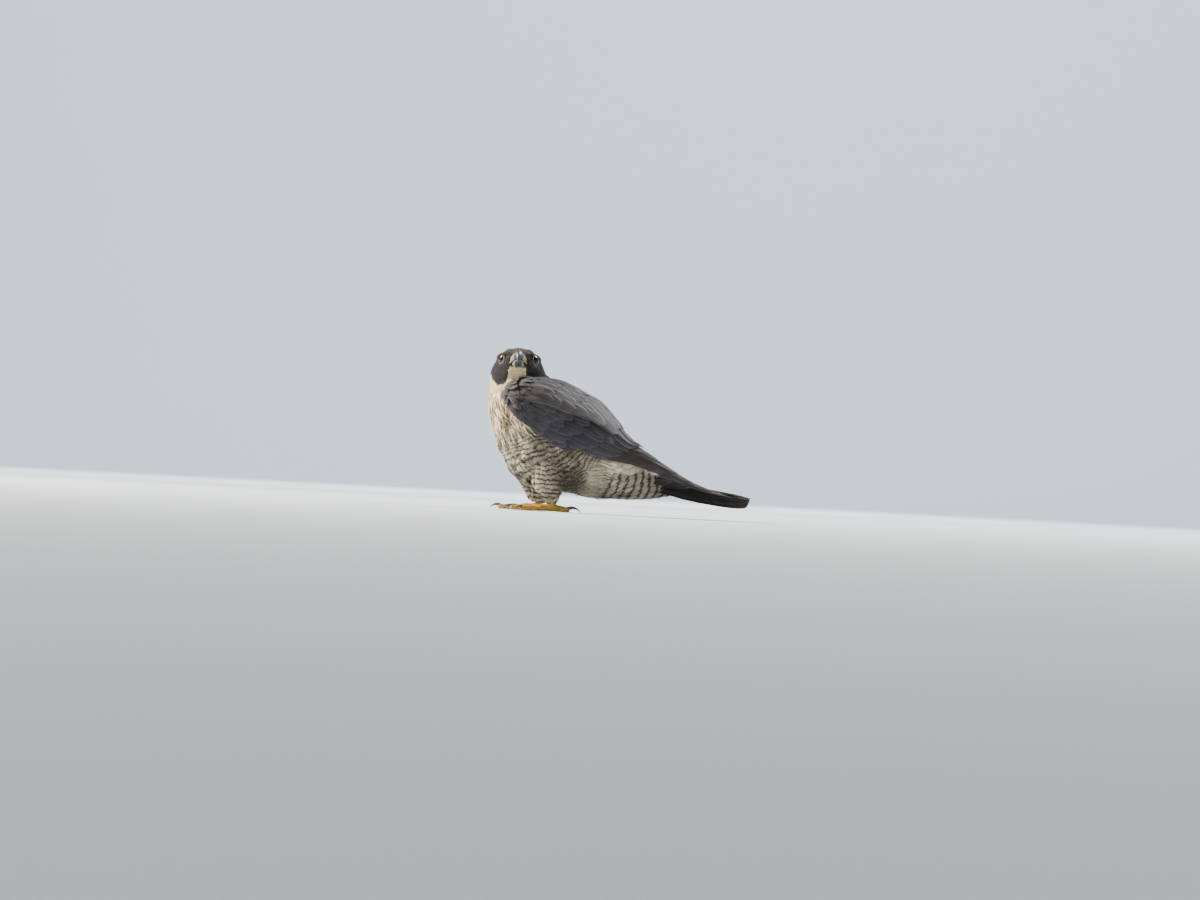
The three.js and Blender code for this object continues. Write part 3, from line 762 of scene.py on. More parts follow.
def plumage_group(bars_tree):
    """Colour of the body's small feathers from the masks that their attributes carry."""
    colours = bpy.context.scene.falcon_colours
    tree, given, out = start_group(
        "Plumage Colour",
        [("Depth", "NodeSocketFloat", 1.0)],
        [("Colour", "NodeSocketColor")],
    )
    hood, bars_share, buff, own = attribute_parts(tree, "Marks")
    slate, parted, shade, _ = attribute_parts(tree, "Zone")
    pale = mix(tree, buff, rgba(colours.cream), rgba(colours.buff))
    stain = ramp(tree, noise(tree, 60, 4, (1, 1, 0.35)), 0.5, 0.72)
    pale = mix(tree, times(tree, stain, 0.3), pale, rgba(colours.stain))
    # The parted channel's brown includes the soiling and painted shade behind the thigh
    pale = mix(tree, times(tree, parted, 0.9), pale, rgba(colours.stain))
    lines = node(tree, "ShaderNodeGroup", {"Waver": 1.9, "Width": 0.38}, node_tree=bars_tree).outputs[0]
    strong = times(tree, lines, bars_share)
    pale = mix(tree, times(tree, strong, 0.92), pale, rgba(colours.bar))
    back = mix(tree, ramp(tree, noise(tree, 120, 3), 0.4, 0.65), rgba(colours.slate), rgba(colours.worn))
    back = mix(tree, times(tree, lines, 0.35), back, rgba(colours.hood))
    colour = mix(tree, slate, pale, back)
    dark = mix(tree, ramp(tree, noise(tree, 160, 3), 0.45, 0.7), rgba(colours.hood), rgba(colours.hood_worn))
    # On the hood the buff channel holds the paler crown: browner feathers with a painted sheen on top
    dark = mix(tree, buff, dark, rgba(colours.crown))
    colour = mix(tree, hood, colour, dark)
    value = scaled(tree, minus(tree, own, 0.5), 0.5, 1.0)
    value = times(tree, value, minus(tree, 1.0, times(tree, shade, 0.75)))
    tree.links.new(darkened(tree, colour, times(tree, value, given["Depth"])), out["Colour"])
    return tree


def material(name, roughness, **constants):
    made = bpy.data.materials.new(name)
    made.use_nodes = True
    shader = made.node_tree.nodes["Principled BSDF"]
    shader.inputs["Roughness"].default_value = roughness
    for key, value in constants.items():
        shader.inputs[key.replace("_", " ")].default_value = value
    return made, made.node_tree, shader


def bump(tree, shader, height, strength, distance):
    inputs = {"Height": height, "Strength": strength, "Distance": distance}
    tree.links.new(node(tree, "ShaderNodeBump", inputs).outputs[0], shader.inputs["Normal"])


def plumage_material(name, plumage_tree, barbs_tree, depth, barbs):
    made, tree, shader = material(name, 0.82, Sheen_Weight=0.12, Sheen_Roughness=0.5, Specular_IOR_Level=0.25)
    colour = node(tree, "ShaderNodeGroup", {"Depth": depth}, node_tree=plumage_tree).outputs[0]
    fine = node(tree, "ShaderNodeGroup", {"Barbs": barbs, "Fringe": 0.1}, node_tree=barbs_tree).outputs
    light = mix(tree, times(tree, fine["Fringe"], 0.25), colour, (0.55, 0.5, 0.43, 1))
    soft = mix(tree, 0.5, colour, light)
    tree.links.new(soft, shader.inputs["Base Color"])
    bump(tree, shader, fine["Height"], 0.35, 0.0002)
    return made


def wing_material(name, barbs_tree, depth=1.0):
    """Slate feathers with a darker middle, pale worn fringes and faint bars, set by the Tone attribute."""
    colours = bpy.context.scene.falcon_colours
    made, tree, shader = material(name, 0.62, Sheen_Weight=0.1, Sheen_Roughness=0.45, Specular_IOR_Level=0.35)
    light, brown, bars, own = attribute_parts(tree, "Tone")
    fine = node(tree, "ShaderNodeGroup", {"Barbs": 210.0, "Fringe": 0.11}, node_tree=barbs_tree).outputs
    along = map_axes(tree, "Vane")[1]
    base = mix(tree, brown, rgba(colours.slate), rgba(colours.brown))
    # Coverts take the dark blue-grey: their bluer tone with painted shade under the scapulars
    base = mix(tree, light, base, rgba(colours.shaded_blue_grey))
    patches = ramp(tree, noise(tree, 70, 5), 0.42, 0.72)
    bleached = times(tree, patches, minus(tree, 1.0, light))
    base = mix(tree, bleached, base, rgba(colours.worn))
    uneven = times(tree, noise(tree, 120, 2), 0.9)
    wave = maths(tree, "SINE", scaled(tree, along, 38.0, times(tree, uneven, 4.0)))
    bands = times(tree, ramp(tree, wave, -0.1, 0.7), bars)
    base = mix(tree, times(tree, bands, 0.55), base, rgba(colours.bar))
    value = scaled(tree, minus(tree, own, 0.5), 0.8, 1.0)
    root = scaled(tree, ramp(tree, along, 0.15, 0.95), 0.6, 0.55)
    base = darkened(tree, base, times(tree, times(tree, value, root), depth))
    base = mix(tree, times(tree, fine["Shaft"], 0.6), base, rgba(colours.hood))
    edge = times(tree, fine["Fringe"], scaled(tree, own, 0.22, 0.02))
    base = mix(tree, edge, base, rgba(colours.fringe))
    tree.links.new(base, shader.inputs["Base Color"])
    bump(tree, shader, fine["Height"], 0.5, 0.0002)
    return made


def horn_material(name, tip, base, low, high):
    """Horn that darkens towards its tip. The Along attribute runs from 0 at the root to 1 at the tip."""
    made, tree, shader = material(name, 0.4, Coat_Weight=0.12, Coat_Roughness=0.3)
    along = node(tree, "ShaderNodeAttribute", attribute_name="Along").outputs["Fac"]
    uneven = times(tree, minus(tree, noise(tree, 160, 4), 0.5), 0.25)
    place = plus(tree, along, uneven)
    colour = mix(tree, ramp(tree, place, low, high), rgba(base), rgba(tip))
    streak = noise(tree, 700, 3)
    colour = mix(tree, times(tree, streak, 0.08), colour, (0.5, 0.48, 0.42, 1))
    tree.links.new(colour, shader.inputs["Base Color"])
    tree.links.new(scaled(tree, streak, 0.25, 0.32), shader.inputs["Roughness"])
    bump(tree, shader, noise(tree, 900, 4), 0.15, 0.0003)
    return made


def skin_material(name, colour, deep, scale):
    """Bare scaly skin: yellow scales parted by darker creases, stained here and there."""
    made, tree, shader = material(name, 0.45, Subsurface_Weight=0.08, Coat_Weight=0.1, Coat_Roughness=0.35)
    cells = {"Vector": object_place(tree), "Scale": scale, "Randomness": 0.75}
    edge = node(tree, "ShaderNodeTexVoronoi", cells, feature="DISTANCE_TO_EDGE").outputs["Distance"]
    scales = ramp(tree, edge, 0.02, 0.16)
    tinted = mix(tree, ramp(tree, noise(tree, 150, 4), 0.4, 0.7), rgba(colour), rgba(deep))
    dark = mix(tree, 1.0, tinted, (0.45, 0.38, 0.3, 1), "MULTIPLY")
    tree.links.new(mix(tree, scales, dark, tinted), shader.inputs["Base Color"])
    tree.links.new(scaled(tree, scales, -0.15, 0.58), shader.inputs["Roughness"])
    bump(tree, shader, scales, 0.6, 0.0004)
    return made


def eye_material():
    """A dark brown iris round a wide pupil, under a wet cornea. The Gaze map runs out from its middle."""
    made, tree, shader = material("Eye", 0.14, Coat_Weight=0.2, Coat_Roughness=0.04, Specular_IOR_Level=0.22)
    gaze = map_axes(tree, "Gaze")
    rays = maths(tree, "SINE", scaled(tree, gaze[1], 380.0, times(tree, noise(tree, 500), 9.0)))
    iris = mix(tree, scaled(tree, rays, 0.3, 0.4), (0.012, 0.005, 0.003, 1), (0.045, 0.018, 0.009, 1))
    colour = mix(tree, ramp(tree, gaze[0], 0.2, 0.22), (0.003, 0.003, 0.004, 1), iris)
    colour = mix(tree, ramp(tree, gaze[0], 0.4, 0.46), colour, (0.012, 0.008, 0.007, 1))
    tree.links.new(colour, shader.inputs["Base Color"])
    return made


def stage_material():
    made, tree, shader = material("Studio Paper", 0.9)
    tone = noise(tree, 900, 2)
    # Painted light: the far wall glows a little where no lamp reaches it
    place = axes_of(tree, object_place(tree))
    far = ramp(tree, place[2], 0.0, 0.8)
    away = minus(tree, 1.0, ramp(tree, place[1], -1.0, 5.0))
    shader.inputs["Emission Strength"].default_value = 1
    painted_glow = mix(tree, times(tree, far, away), (0, 0, 0, 1), (0.5, 0.53, 0.56, 1))
    tree.links.new(painted_glow, shader.inputs["Emission Color"])
    tree.links.new(mix(tree, tone, (0.58, 0.62, 0.67, 1), (0.61, 0.65, 0.70, 1)), shader.inputs["Base Color"])
    return made


def shared(name, make):
    """A node group or material that is built once, by its name."""
    for store in (bpy.data.materials, bpy.data.node_groups):
        if name in store:
            return store[name]
    return make()


def barbs_tree():
    return shared("Feather Barbs", barb_group)


def plumage_tree():
    bars_tree = shared("Plumage Bars", bar_group)
    return shared("Plumage Colour", lambda: plumage_group(bars_tree))


# Skin and coat


FLESH = ("head", "neck", "torso", "thigh_left", "thigh_right")


def coat_depth(points):
    return lerp(3.0, 1.1, head_share(points))


def eye_axes(hand):
    """The way that an eye looks, and the directions forward and up across it."""
    gaze = np.array([math.sin(EYE_TURN), math.cos(EYE_TURN) * hand, 0]) * math.cos(EYE_DIP)
    gaze[2] = -math.sin(EYE_DIP)
    fore = np.array([math.cos(EYE_TURN), -math.sin(EYE_TURN) * hand, 0])
    return gaze, fore, np.cross(gaze, fore) * -hand


def eye_places(points):
    """Distance from the nearer eye's middle, and the angle from the way that it looks."""
    local = to_head(points)
    middle = EYE_AT * np.stack([np.ones(len(local)), np.sign(local[:, 1]), np.ones(len(local))], -1)
    gaze = np.stack([eye_axes(hand)[0] for hand in (1, -1)])[(local[:, 1] < 0).astype(int)]
    off = local - middle
    distance = np.linalg.norm(off, axis=1)
    return middle, off, distance, np.arccos(np.clip((unit(off) * gaze).sum(1), -1, 1))


def skin_mesh():
    """One closed skin round the CAD's flesh, drawn in by the depth of the coat."""
    bm = bmesh.new()
    for name in FLESH:
        part = bmesh.new()
        part.from_mesh(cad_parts[name].data)
        bmesh.ops.remove_doubles(part, verts=part.verts, dist=1e-6)
        part.normal_update()
        for v in part.verts:
            v.co += v.normal * FLESH_GROWTH * MM
        take_in(bm, part)
    for hand in (1, -1):
        socket = bmesh.ops.create_uvsphere(bm, u_segments=24, v_segments=16, radius=SOCKET_RADIUS * MM)
        at = (from_head(EYE_AT * [1, hand, 1]) + SHIFT) * MM
        bmesh.ops.translate(bm, verts=socket["verts"], vec=at)
        for form in (brow_points(hand), ball_points((5, 11.5 * hand, 14.5), (19, 9.5, 10.5))):
            take_in(bm, loft(form, 20, 16))
    bm = remeshed(bm, SKIN_VOXEL)
    relax(bm, bm.verts, 4)
    temples = [v for v in bm.verts if v.co.z > 183 * MM and v.co.y < -5 * MM]
    relax(bm, temples, 3)
    neck = [v for v in bm.verts if 138 * MM < v.co.z < 180 * MM and v.co.y > -32 * MM]
    relax(bm, neck, 12)
    bm.normal_update()
    places = np.array([v.co[:] for v in bm.verts]) / MM - SHIFT
    for v, depth in zip(bm.verts, coat_depth(places)):
        v.co -= v.normal * float(depth) * MM
    places = np.array([v.co[:] for v in bm.verts]) / MM - SHIFT
    middle, off, distance, angle = eye_places(places)
    depth = np.clip((distance - HOLLOW_RADIUS) * (1 - smooth(angle, 0.66, 0.82)), 0, None) * (distance < 13)
    moved = (from_head(middle + off * (1 - depth / distance)[:, None]) + SHIFT) * MM
    for v, place, hollow in zip(bm.verts, moved, depth):
        if hollow > 0:
            v.co = place
    bmesh.ops.triangulate(bm, faces=bm.faces)
    return mesh_of(bm, "skin")


def ball_points(middle, radii):
    """An egg shape in the head's frame."""

    def sections(t, angle):
        polar = t * math.pi
        around = np.stack([np.cos(polar), np.sin(polar) * np.cos(angle), np.sin(polar) * np.sin(angle)], -1)
        return from_head(np.array(middle) + around * radii)

    return sections


def brow_points(hand):
    """The ridge that shades the eye, from behind it to the cere."""
    rows = [
        (-2, 25, 10.5, 1.8),
        (7, 25.5, 11.8, 3.0),
        (14.5, 24.2, 12.2, 3.3),
        (20.4, 20.8, 12.0, 3.3),
        (25, 15.5, 11.2, 2.8),
        (28.5, 9, 10, 1.5),
    ]

    def sections(t, angle):
        x, y, z, r = np.moveaxis(rows_at(rows, t), -1, 0)
        local = np.stack([x, (y + np.cos(angle) * r * 1.15) * hand, z + np.sin(angle) * r * 0.8], -1)
        return from_head(local)

    return sections


def remeshed(bm, size):
    """The outer skin of everything in bm, as one even surface."""
    joined = bpy.data.objects.new("joined", mesh_of(bm, "joined"))
    bpy.context.scene.collection.objects.link(joined)
    remesh = joined.modifiers.new("remesh", "REMESH")
    remesh.mode = "VOXEL"
    remesh.voxel_size = size * MM
    whole = bmesh.new()
    whole.from_object(joined, bpy.context.evaluated_depsgraph_get())
    bpy.data.objects.remove(joined)
    keep_largest(whole)
    return whole


def keep_largest(bm):
    """Only the largest closed surface stays, so that no pocket inside the body is kept."""
    seen, best = set(), []
    for start in bm.verts:
        if start in seen:
            continue
        shell, todo = [], [start]
        seen.add(start)
        while todo:
            v = todo.pop()
            shell.append(v)
            for edge in v.link_edges:
                other = edge.other_vert(v)
                if other not in seen:
                    seen.add(other)
                    todo.append(other)
        if len(shell) > len(best):
            best = shell
    kept = set(best)
    bmesh.ops.delete(bm, geom=[v for v in bm.verts if v not in kept], context="VERTS")


def mark_vertices(mesh):
    """The skin carries the same markings as the coat."""
    places = places_of(mesh)
    marks = markings(places)
    half = np.full(len(places), 0.5)
    vane = np.full((len(places), 2), [0.3, 0.4])
    maps = {"OFBake": bake_map(places), "Lie": np.stack([marks["phase"], half], -1), "Vane": vane}
    put_attributes(mesh, maps, colour_sets(marks, half))


def colour_sets(marks, own):
    return {
        "Marks": np.stack([marks["hood"], marks["bars"], marks["buff"], own], -1),
        "Zone": np.stack([marks["slate"], marks["parted"], marks["shade"], marks["bold"]], -1),
    }


def under_wing(points):
    """True where the folded wing hides the body."""
    hidden = np.zeros(len(points), bool)
    u, v = np.meshgrid(np.linspace(0.2, 0.6, 40), np.linspace(0.2, 0.88, 16))
    shell = wing_point(u.ravel(), v.ravel())
    for sign in (1, -1):
        side = points[:, 1] * sign < -12
        flat = points[:, [0, 2]]
        for x, y, z in shell:
            near = (np.abs(flat[:, 0] - x) < 5) & (np.abs(flat[:, 1] - z) < 5)
            hidden |= side & near & (points[:, 1] * sign > y + 2)
    return hidden


LOCK = lock_form((0.34, 0.68))
SMALL_VANE = vane_form(3, 5)


class Coat:
    """Small feathers rooted on the skin, each a thin lock that follows the lie of the coat."""

    def __init__(self, mesh, seed):
        count = len(mesh.polygons)
        self.rng = np.random.default_rng(seed)
        corners = np.empty(count * 3, int)
        mesh.loops.foreach_get("vertex_index", corners)
        self.corners = places_of(mesh)[corners.reshape(-1, 3)]
        a, b, c = (self.corners[:, k] for k in range(3))
        cross = np.cross(b - a, c - a)
        self.area = np.linalg.norm(cross, axis=1) / 2
        self.normal = unit(cross)
        self.middle = self.corners.mean(1)
        self.head = head_share(self.middle)
        self.thigh = thigh_share(self.middle)
        self.along, _, self.line = body_place(self.middle)
        self.hidden = under_wing(self.middle)
        _, _, distance, angle = eye_places(self.middle)
        self.off_eyes = 1.0 - (distance < 12) * (angle < 0.84)

    def roots(self, share, spacing):
        """Random roots, one for each spacing squared of skin where share is 1."""
        rate = self.area * share / spacing**2
        number = np.floor(rate + self.rng.random(len(rate))).astype(int)
        face = np.repeat(np.arange(len(rate)), number)
        r = self.rng.random((len(face), 2))
        flip = r.sum(1) > 1
        r[flip] = 1 - r[flip]
        a, b, c = (self.corners[face, k] for k in range(3))
        return face, a + (b - a) * r[:, :1] + (c - a) * r[:, 1:]

    def lay(self, name, share, spacing, length, width, rise, mess, vane=True, curl=0.75):
        """Root feathers where share says: flat vanes, or thin locks where vane is False."""
        face, root = self.roots(share, spacing)
        count = len(face)
        normal = self.normal[face]
        head = self.head[face][:, None]
        thigh = self.thigh[face][:, None]
        flow = self.line[face] * (1 - head) + head * (-HEAD_AXES[0] + [0, 0, -0.25])
        flow = flow * (1 - thigh) + thigh * np.array([0.12, 0, -1])
        rear = smooth(self.along[face], 150, 200)[:, None]
        flow = flow * (1 - rear) + rear * np.array([1.0, 0, 0.05])
        flow = unit(flow) + self.rng.normal(0, mess, (count, 3))
        swirl = np.stack([wobble(root, 0.16, 60 + k) for k in range(3)], -1)
        flow = flow + swirl * (2.2 * mess) * (1 - head)
        flow = unit(flow - normal * (flow * normal).sum(1, keepdims=True))
        side = np.cross(normal, flow)
        per = self.rng.normal(0, 1, (count, 3))
        length = (length[face] if np.ndim(length) else length) * (1 + 0.14 * per[:, 0])
        width = (width[face] if np.ndim(width) else width) * (1 + 0.12 * per[:, 1])
        clump = wobble(root, 0.45, 70) * (1 - head[:, 0])
        lift = np.abs(rise * (1 + 0.4 * per[:, 2] + 0.9 * clump))
        places, triangles = SMALL_VANE if vane else LOCK
        if vane:
            a, s, h = places.T
            wide = feather_widths(s, "covert")
            thick = (h * SMALL_VANE_THICKNESS)[None] - (a * wide)[None] ** 2 * (width * 0.07)[:, None]
            ragged = 1 + 0.1 * np.sin(s[None] * 11 + 6 * per[:, :1]) * s[None]
        else:
            a, s = places[:, 0] / 0.866, places[:, 2]
            wide = np.interp(s, [0, 0.34, 0.68, 1], [0.4, 0.95, 0.8, 0.0])
            thick = (places[:, 1] * wide)[None] * (width * 0.1)[:, None]
            ragged = 1.0
        reach = s[None] * length[:, None]
        radius = lerp(BODY_RADIUS, HEAD_RADIUS, head)
        up = (s * (1 - curl * s))[None] * (lift * length)[:, None] - reach**2 / (2 * radius) * 0.85
        up = up - lerp(0.3, 0.0, head)
        across = (a * wide)[None] * (width / 2)[:, None] * ragged
        points = root[:, None] + flow[:, None] * reach[..., None] + normal[:, None] * (up + thick)[..., None]
        points = (points + side[:, None] * across[..., None]).reshape(-1, 3)
        points[:, 2] = np.maximum(points[:, 2], LOWEST_COAT)
        marks = markings(root)
        spread = {key: np.repeat(value, len(places)) for key, value in marks.items()}
        on_thigh = np.repeat(self.thigh[face] > 0.5, len(places))
        phase = bar_phase(points, on_thigh, spread["bold"] > 0.5)
        spread["phase"] = phase - 0.25 * np.tile(a**2, count)
        # Feathers that the clumps lift are lighter: painted shade in the grooves between clumps
        own = np.repeat(np.clip(self.rng.random(count) * 0.7 + 0.15 + 0.35 * clump, 0, 1), len(places))
        vane_map = np.stack([np.tile((a + 1) / 2, count), np.tile(s, count)], -1)
        bake = np.repeat(bake_map(root), len(places), 0) + (vane_map - 0.5) * BAKE_PATCH
        lie = np.stack([spread["phase"], vane_map[:, 0]], -1)
        maps = {"OFBake": bake, "Lie": lie, "Vane": vane_map}
        faces = repeat(triangles, len(places), count)
        return triangles_mesh(name, points, faces, maps, colour_sets(spread, own))


# Settings and operators


def colour_property(name, description, value):
    return bpy.props.FloatVectorProperty(
        name=name, description=description, subtype="COLOR", size=3, min=0, max=1, default=value
    )


class FalconColours(bpy.types.PropertyGroup):
    """Colours of the plumage and the bare parts."""

    cream: colour_property("Cream", "Belly and undertail between the bars", (0.76, 0.66, 0.47))
    buff: colour_property("Buff", "Throat and upper breast", (0.95, 0.72, 0.39))
    # The stain colour also paints the shade behind the thigh
    stain: colour_property("Stain", "Soiled and rusty patches of the breast", (0.27, 0.17, 0.10))
    bar: colour_property("Bars", "Dark bars of breast, thighs and tail", (0.05, 0.037, 0.03))
    hood: colour_property("Hood", "Crown, nape and moustache", (0.018, 0.015, 0.016))
    # The crown colour is partly a painted sheen on top of the head
    crown: colour_property("Crown", "Paler feathers of crown and forehead", (0.07, 0.052, 0.040))
    hood_worn: colour_property("Worn hood", "Browner feathers of the hood", (0.038, 0.027, 0.022))
    slate: colour_property("Slate", "Feathers of back and wing", (0.074, 0.061, 0.070))
    # The blue-grey is darkened as painted shade under the scapulars
    shaded_blue_grey: colour_property("Blue grey", "Bluer wing coverts", (0.027, 0.028, 0.038))
    brown: colour_property("Brown", "Flight feathers", (0.040, 0.027, 0.020))
    worn: colour_property("Worn slate", "Bleached parts of back and wing", (0.088, 0.066, 0.060))
    fringe: colour_property("Fringe", "Pale edges of back and wing feathers", (0.19, 0.15, 0.125))
    bill_tip: colour_property("Bill tip", "Dark tip of the bill", (0.022, 0.020, 0.030))
    bill_base: colour_property("Bill base", "Blue-grey base of the bill", (0.26, 0.29, 0.27))
    yellow: colour_property("Yellow", "Feet", (0.62, 0.40, 0.04))
    deep_yellow: colour_property("Deep yellow", "Darker parts of the feet", (0.42, 0.22, 0.03))
    cere: colour_property("Cere", "Bare skin round the bill", (0.58, 0.50, 0.22))
    deep_cere: colour_property("Deep cere", "Darker parts of the skin round the bill", (0.42, 0.36, 0.12))
    lid: colour_property("Lid", "Bare rim round the eye", (0.36, 0.31, 0.14))
    deep_lid: colour_property("Deep lid", "Darker parts of the rim", (0.16, 0.13, 0.06))


class FalconSizes(bpy.types.PropertyGroup):
    """Sizes of the plumage and the view."""

    body_spacing: bpy.props.FloatProperty(
        name="Body feather spacing",
        description="Distance between the roots on the body",
        default=4.2 * MM,
        unit="LENGTH",
    )
    head_spacing: bpy.props.FloatProperty(
        name="Head feather spacing",
        description="Distance between the roots on the head",
        default=0.95 * MM,
        unit="LENGTH",
    )
    camera_distance: bpy.props.FloatProperty(
        name="Camera distance", description="From the camera to the bird", default=6.25, unit="LENGTH"
    )
    camera_height: bpy.props.FloatProperty(
        name="Camera height", description="Above the floor", default=0.04, unit="LENGTH"
    )
    camera_roll: bpy.props.FloatProperty(
        name="Camera roll", description="Tilt of the picture", default=math.radians(3), subtype="ANGLE"
    )


class FALCON_OT_skin(bpy.types.Operator):
    """Make the skin and the coat of small feathers"""

    bl_idname = "falcon.skin"
    bl_label = "Skin and Body Feathers"

    def execute(self, context):
        sizes = context.scene.falcon_sizes
        skin = skin_mesh()
        mark_vertices(skin)
        coat = Coat(skin, 11)
        # The skin wears the coat's markings at half brightness: painted shade for the deeper feathers that
        # show between the coat's
        made = plumage_material("Skin under Feathers", plumage_tree(), barbs_tree(), 0.5, 60)
        add_object("skin", skin, made, FLESH)
        body = plumage_material("Body Feathers", plumage_tree(), barbs_tree(), 1.0, 45)
        hood = plumage_material("Head Feathers", plumage_tree(), barbs_tree(), 1.0, 30)

        spacing = sizes.body_spacing / MM
        shown = 1.0 - coat.hidden
        off_head = 1 - smooth(coat.head, 0.35, 0.6)
        on_thigh = smooth(coat.thigh, 0.3, 0.6)
        under = smooth(coat.along, BOLD_START[0], BOLD_START[1] + 5)
        front = 1 - smooth(coat.along, *BREAST_END)
        ends = smooth(coat.normal[:, 0], 0.4, 0.6) * smooth(coat.middle[:, 0], 35, 50)
        rest = shown * off_head * (1 - on_thigh) * (1 - ends)
        slate = smooth(markings(coat.middle)["slate"], 0.4, 0.6)
        light = rest * (1 - slate)
        vent = smooth(coat.along, *VENT_START) * (1 - smooth(coat.along, *BOLD_START))
        regions = [
            ("breast_coat", light * front, spacing, 15.0, 8.0, 0.15, 0.12, True),
            ("breast_wisps", light * smooth(front, 0.2, 0.8), spacing * 0.7, 20.0, 2.8, 0.34, 0.2, False),
            ("belly_coat", light * (1 - front) * (1 - under), spacing, 17.0, 9.0, 0.15, 0.13, True),
            ("belly_wisps", light * (1 - front) * (1 - under), spacing * 0.6, 13.0, 1.8, 0.2, 0.2, False),
            ("vent_wisps", light * vent, spacing * 0.42, 17.0, 1.9, 0.28, 0.14, False),
            ("undertail_coat", light * under, spacing * 1.1, 24.0, 13.0, 0.07, 0.04, True),
            ("thigh_coat", shown * off_head * on_thigh, spacing * 0.8, 13.0, 7.0, 0.14, 0.1, True),
            ("thigh_wisps", shown * off_head * on_thigh, spacing * 0.55, 10.0, 1.6, 0.18, 0.18, False),
        ]
        for name, share, gap, long, wide, rise, mess, vane in regions:
            mesh = coat.lay(name, share, gap, long, wide, rise, mess, vane)
            add_object(name, mesh, body)
        mesh = coat.lay("mantle_coat", rest * slate, spacing * 1.15, 19.0, 11.0, 0.13, 0.08)
        add_object("mantle_coat", mesh, body)
        face = smooth(to_head(coat.middle)[:, 0], -14, 22)
        small = lerp(6.2, 2.6, face)
        on_head = (1 - off_head) * coat.off_eyes
        close = sizes.head_spacing / MM
        mesh = coat.lay("head_coat", on_head, close, small, small * 0.3, 0.24, 0.1, vane=False)
        add_object("head_coat", mesh, hood)
        return {"FINISHED"}


def wing_rows(wing):
    """All feathers of the folded left wing, the lowest layer first. tone is the shares of blue-grey with
    painted shade, of brown and of bars.
    """
    row = wing.row
    # Primaries, secondaries and the two rows of greater coverts
    row(10, ((0.40, 0.22), (0.5, 0.62)), ((0.985, 0.38), (0.72, 0.74)), (15, 16),
        ((-5.2, -5.2), (-0.9, -0.2)), "pointed", (0.0, 0.85, 0.1), tilt=0.3, shaft=-0.3, ragged=0.004)
    row(11, ((0.36, 0.2), (0.42, 0.86)), ((0.575, 0.25), (0.655, 0.8)), (15, 17),
        ((-2.6, -2.6), (0.0, 1.3)), "flight", (0.7, 0.1, 0.25), shaft=-0.2, ragged=0.006)
    row(11, ((0.31, 0.12), (0.37, 0.66)), ((0.46, 0.15), (0.525, 0.68)), (12, 15),
        ((-2.4, -2.4), (1.3, 1.7)), "covert", (0.9, 0.0, 0.2), shaft=-0.1)
    row(11, ((0.26, 0.11), (0.3, 0.6)), ((0.38, 0.13), (0.43, 0.62)), (12, 15),
        ((-2.4, -2.4), (1.6, 2.1)), "covert", (0.85, 0.0, 0.15))
    # Smaller coverts up to the bend of the wing
    for k in range(9):
        u = 0.235 - 0.027 * k
        count = 10 - k // 2
        grow = 1 - 0.05 * k
        low = 0.115 - 0.01 * k
        high = 0.66 + 0.07 * max(k - 4, 0)
        root = ((u, low), (u + 0.02, high))
        tip = ((u + 0.1 * grow, low), (u + 0.125 * grow, high + 0.02))
        tone = (0.8 - 0.08 * k, 0.1 + 0.03 * k, 0.1)
        row(count, root, tip, (11.5 * grow, 13 * grow), ((-1.4, -1.4), (1.9, 2.2)), "covert", tone)
    row(9, ((0.0, 0.04), (0.0, 0.95)), ((0.055, 0.03), (0.07, 0.97)), (8, 9),
        ((-1.2, -1.2), (1.8, 1.8)), "covert", (0.0, 0.4, 0.0))
    # The innermost flight feathers, and the scapulars over them
    row(3, ((0.42, 0.76), (0.43, 0.92)), ((0.64, 0.76), (0.645, 0.83)), (16, 13),
        ((-1.5, -1.5), (1.9, 2.4)), "flight", (0.2, 0.4, 0.1), shaft=-0.15)
    for k in range(7):
        u = 0.36 - 0.044 * k
        low = 0.6 - 0.03 * k
        tip = ((u + 0.155, low + 0.04), (u + 0.165, 0.92))
        lift = ((-1.2, 0.3 + 0.15 * k), (5.4, 1.2 + 0.35 * k))
        row(5, ((u, low), (u + 0.005, 0.94)), tip, (19, 16),
            lift, "covert", (0.0, 0.25, 0.08), tilt=0.4, ragged=0.006)


class FALCON_OT_wings(bpy.types.Operator):
    """Lay the feathers of both folded wings"""

    bl_idname = "falcon.wings"
    bl_label = "Wing Feathers"

    def execute(self, context):
        made = wing_material("Wing Feathers", barbs_tree())
        for index, side in enumerate(("left", "right")):
            wing = Feathers(wing_point, (0, -1, 0.2), 21 + index)
            wing_rows(wing)
            mesh = wing.mesh(f"wing_feathers_{side}", mirror=side == "right")
            add_object(f"wing_feathers_{side}", mesh, made, (f"wing_{side}",))
            lining = Feathers(wing_point, (0, -1, 0.2), 31)
            lining.row(8, ((0.02, 0.2), (0.02, 0.88)), ((0.6, 0.26), (0.62, 0.88)), (18, 22),
                       ((-5, -5), (-3.4, -3.4)), "covert", (0.0, 0.5, 0.0), tilt=0, ragged=0)
            mesh = lining.mesh(f"wing_lining_{side}", mirror=side == "right")
            add_object(f"wing_lining_{side}", mesh, made)
        return {"FINISHED"}


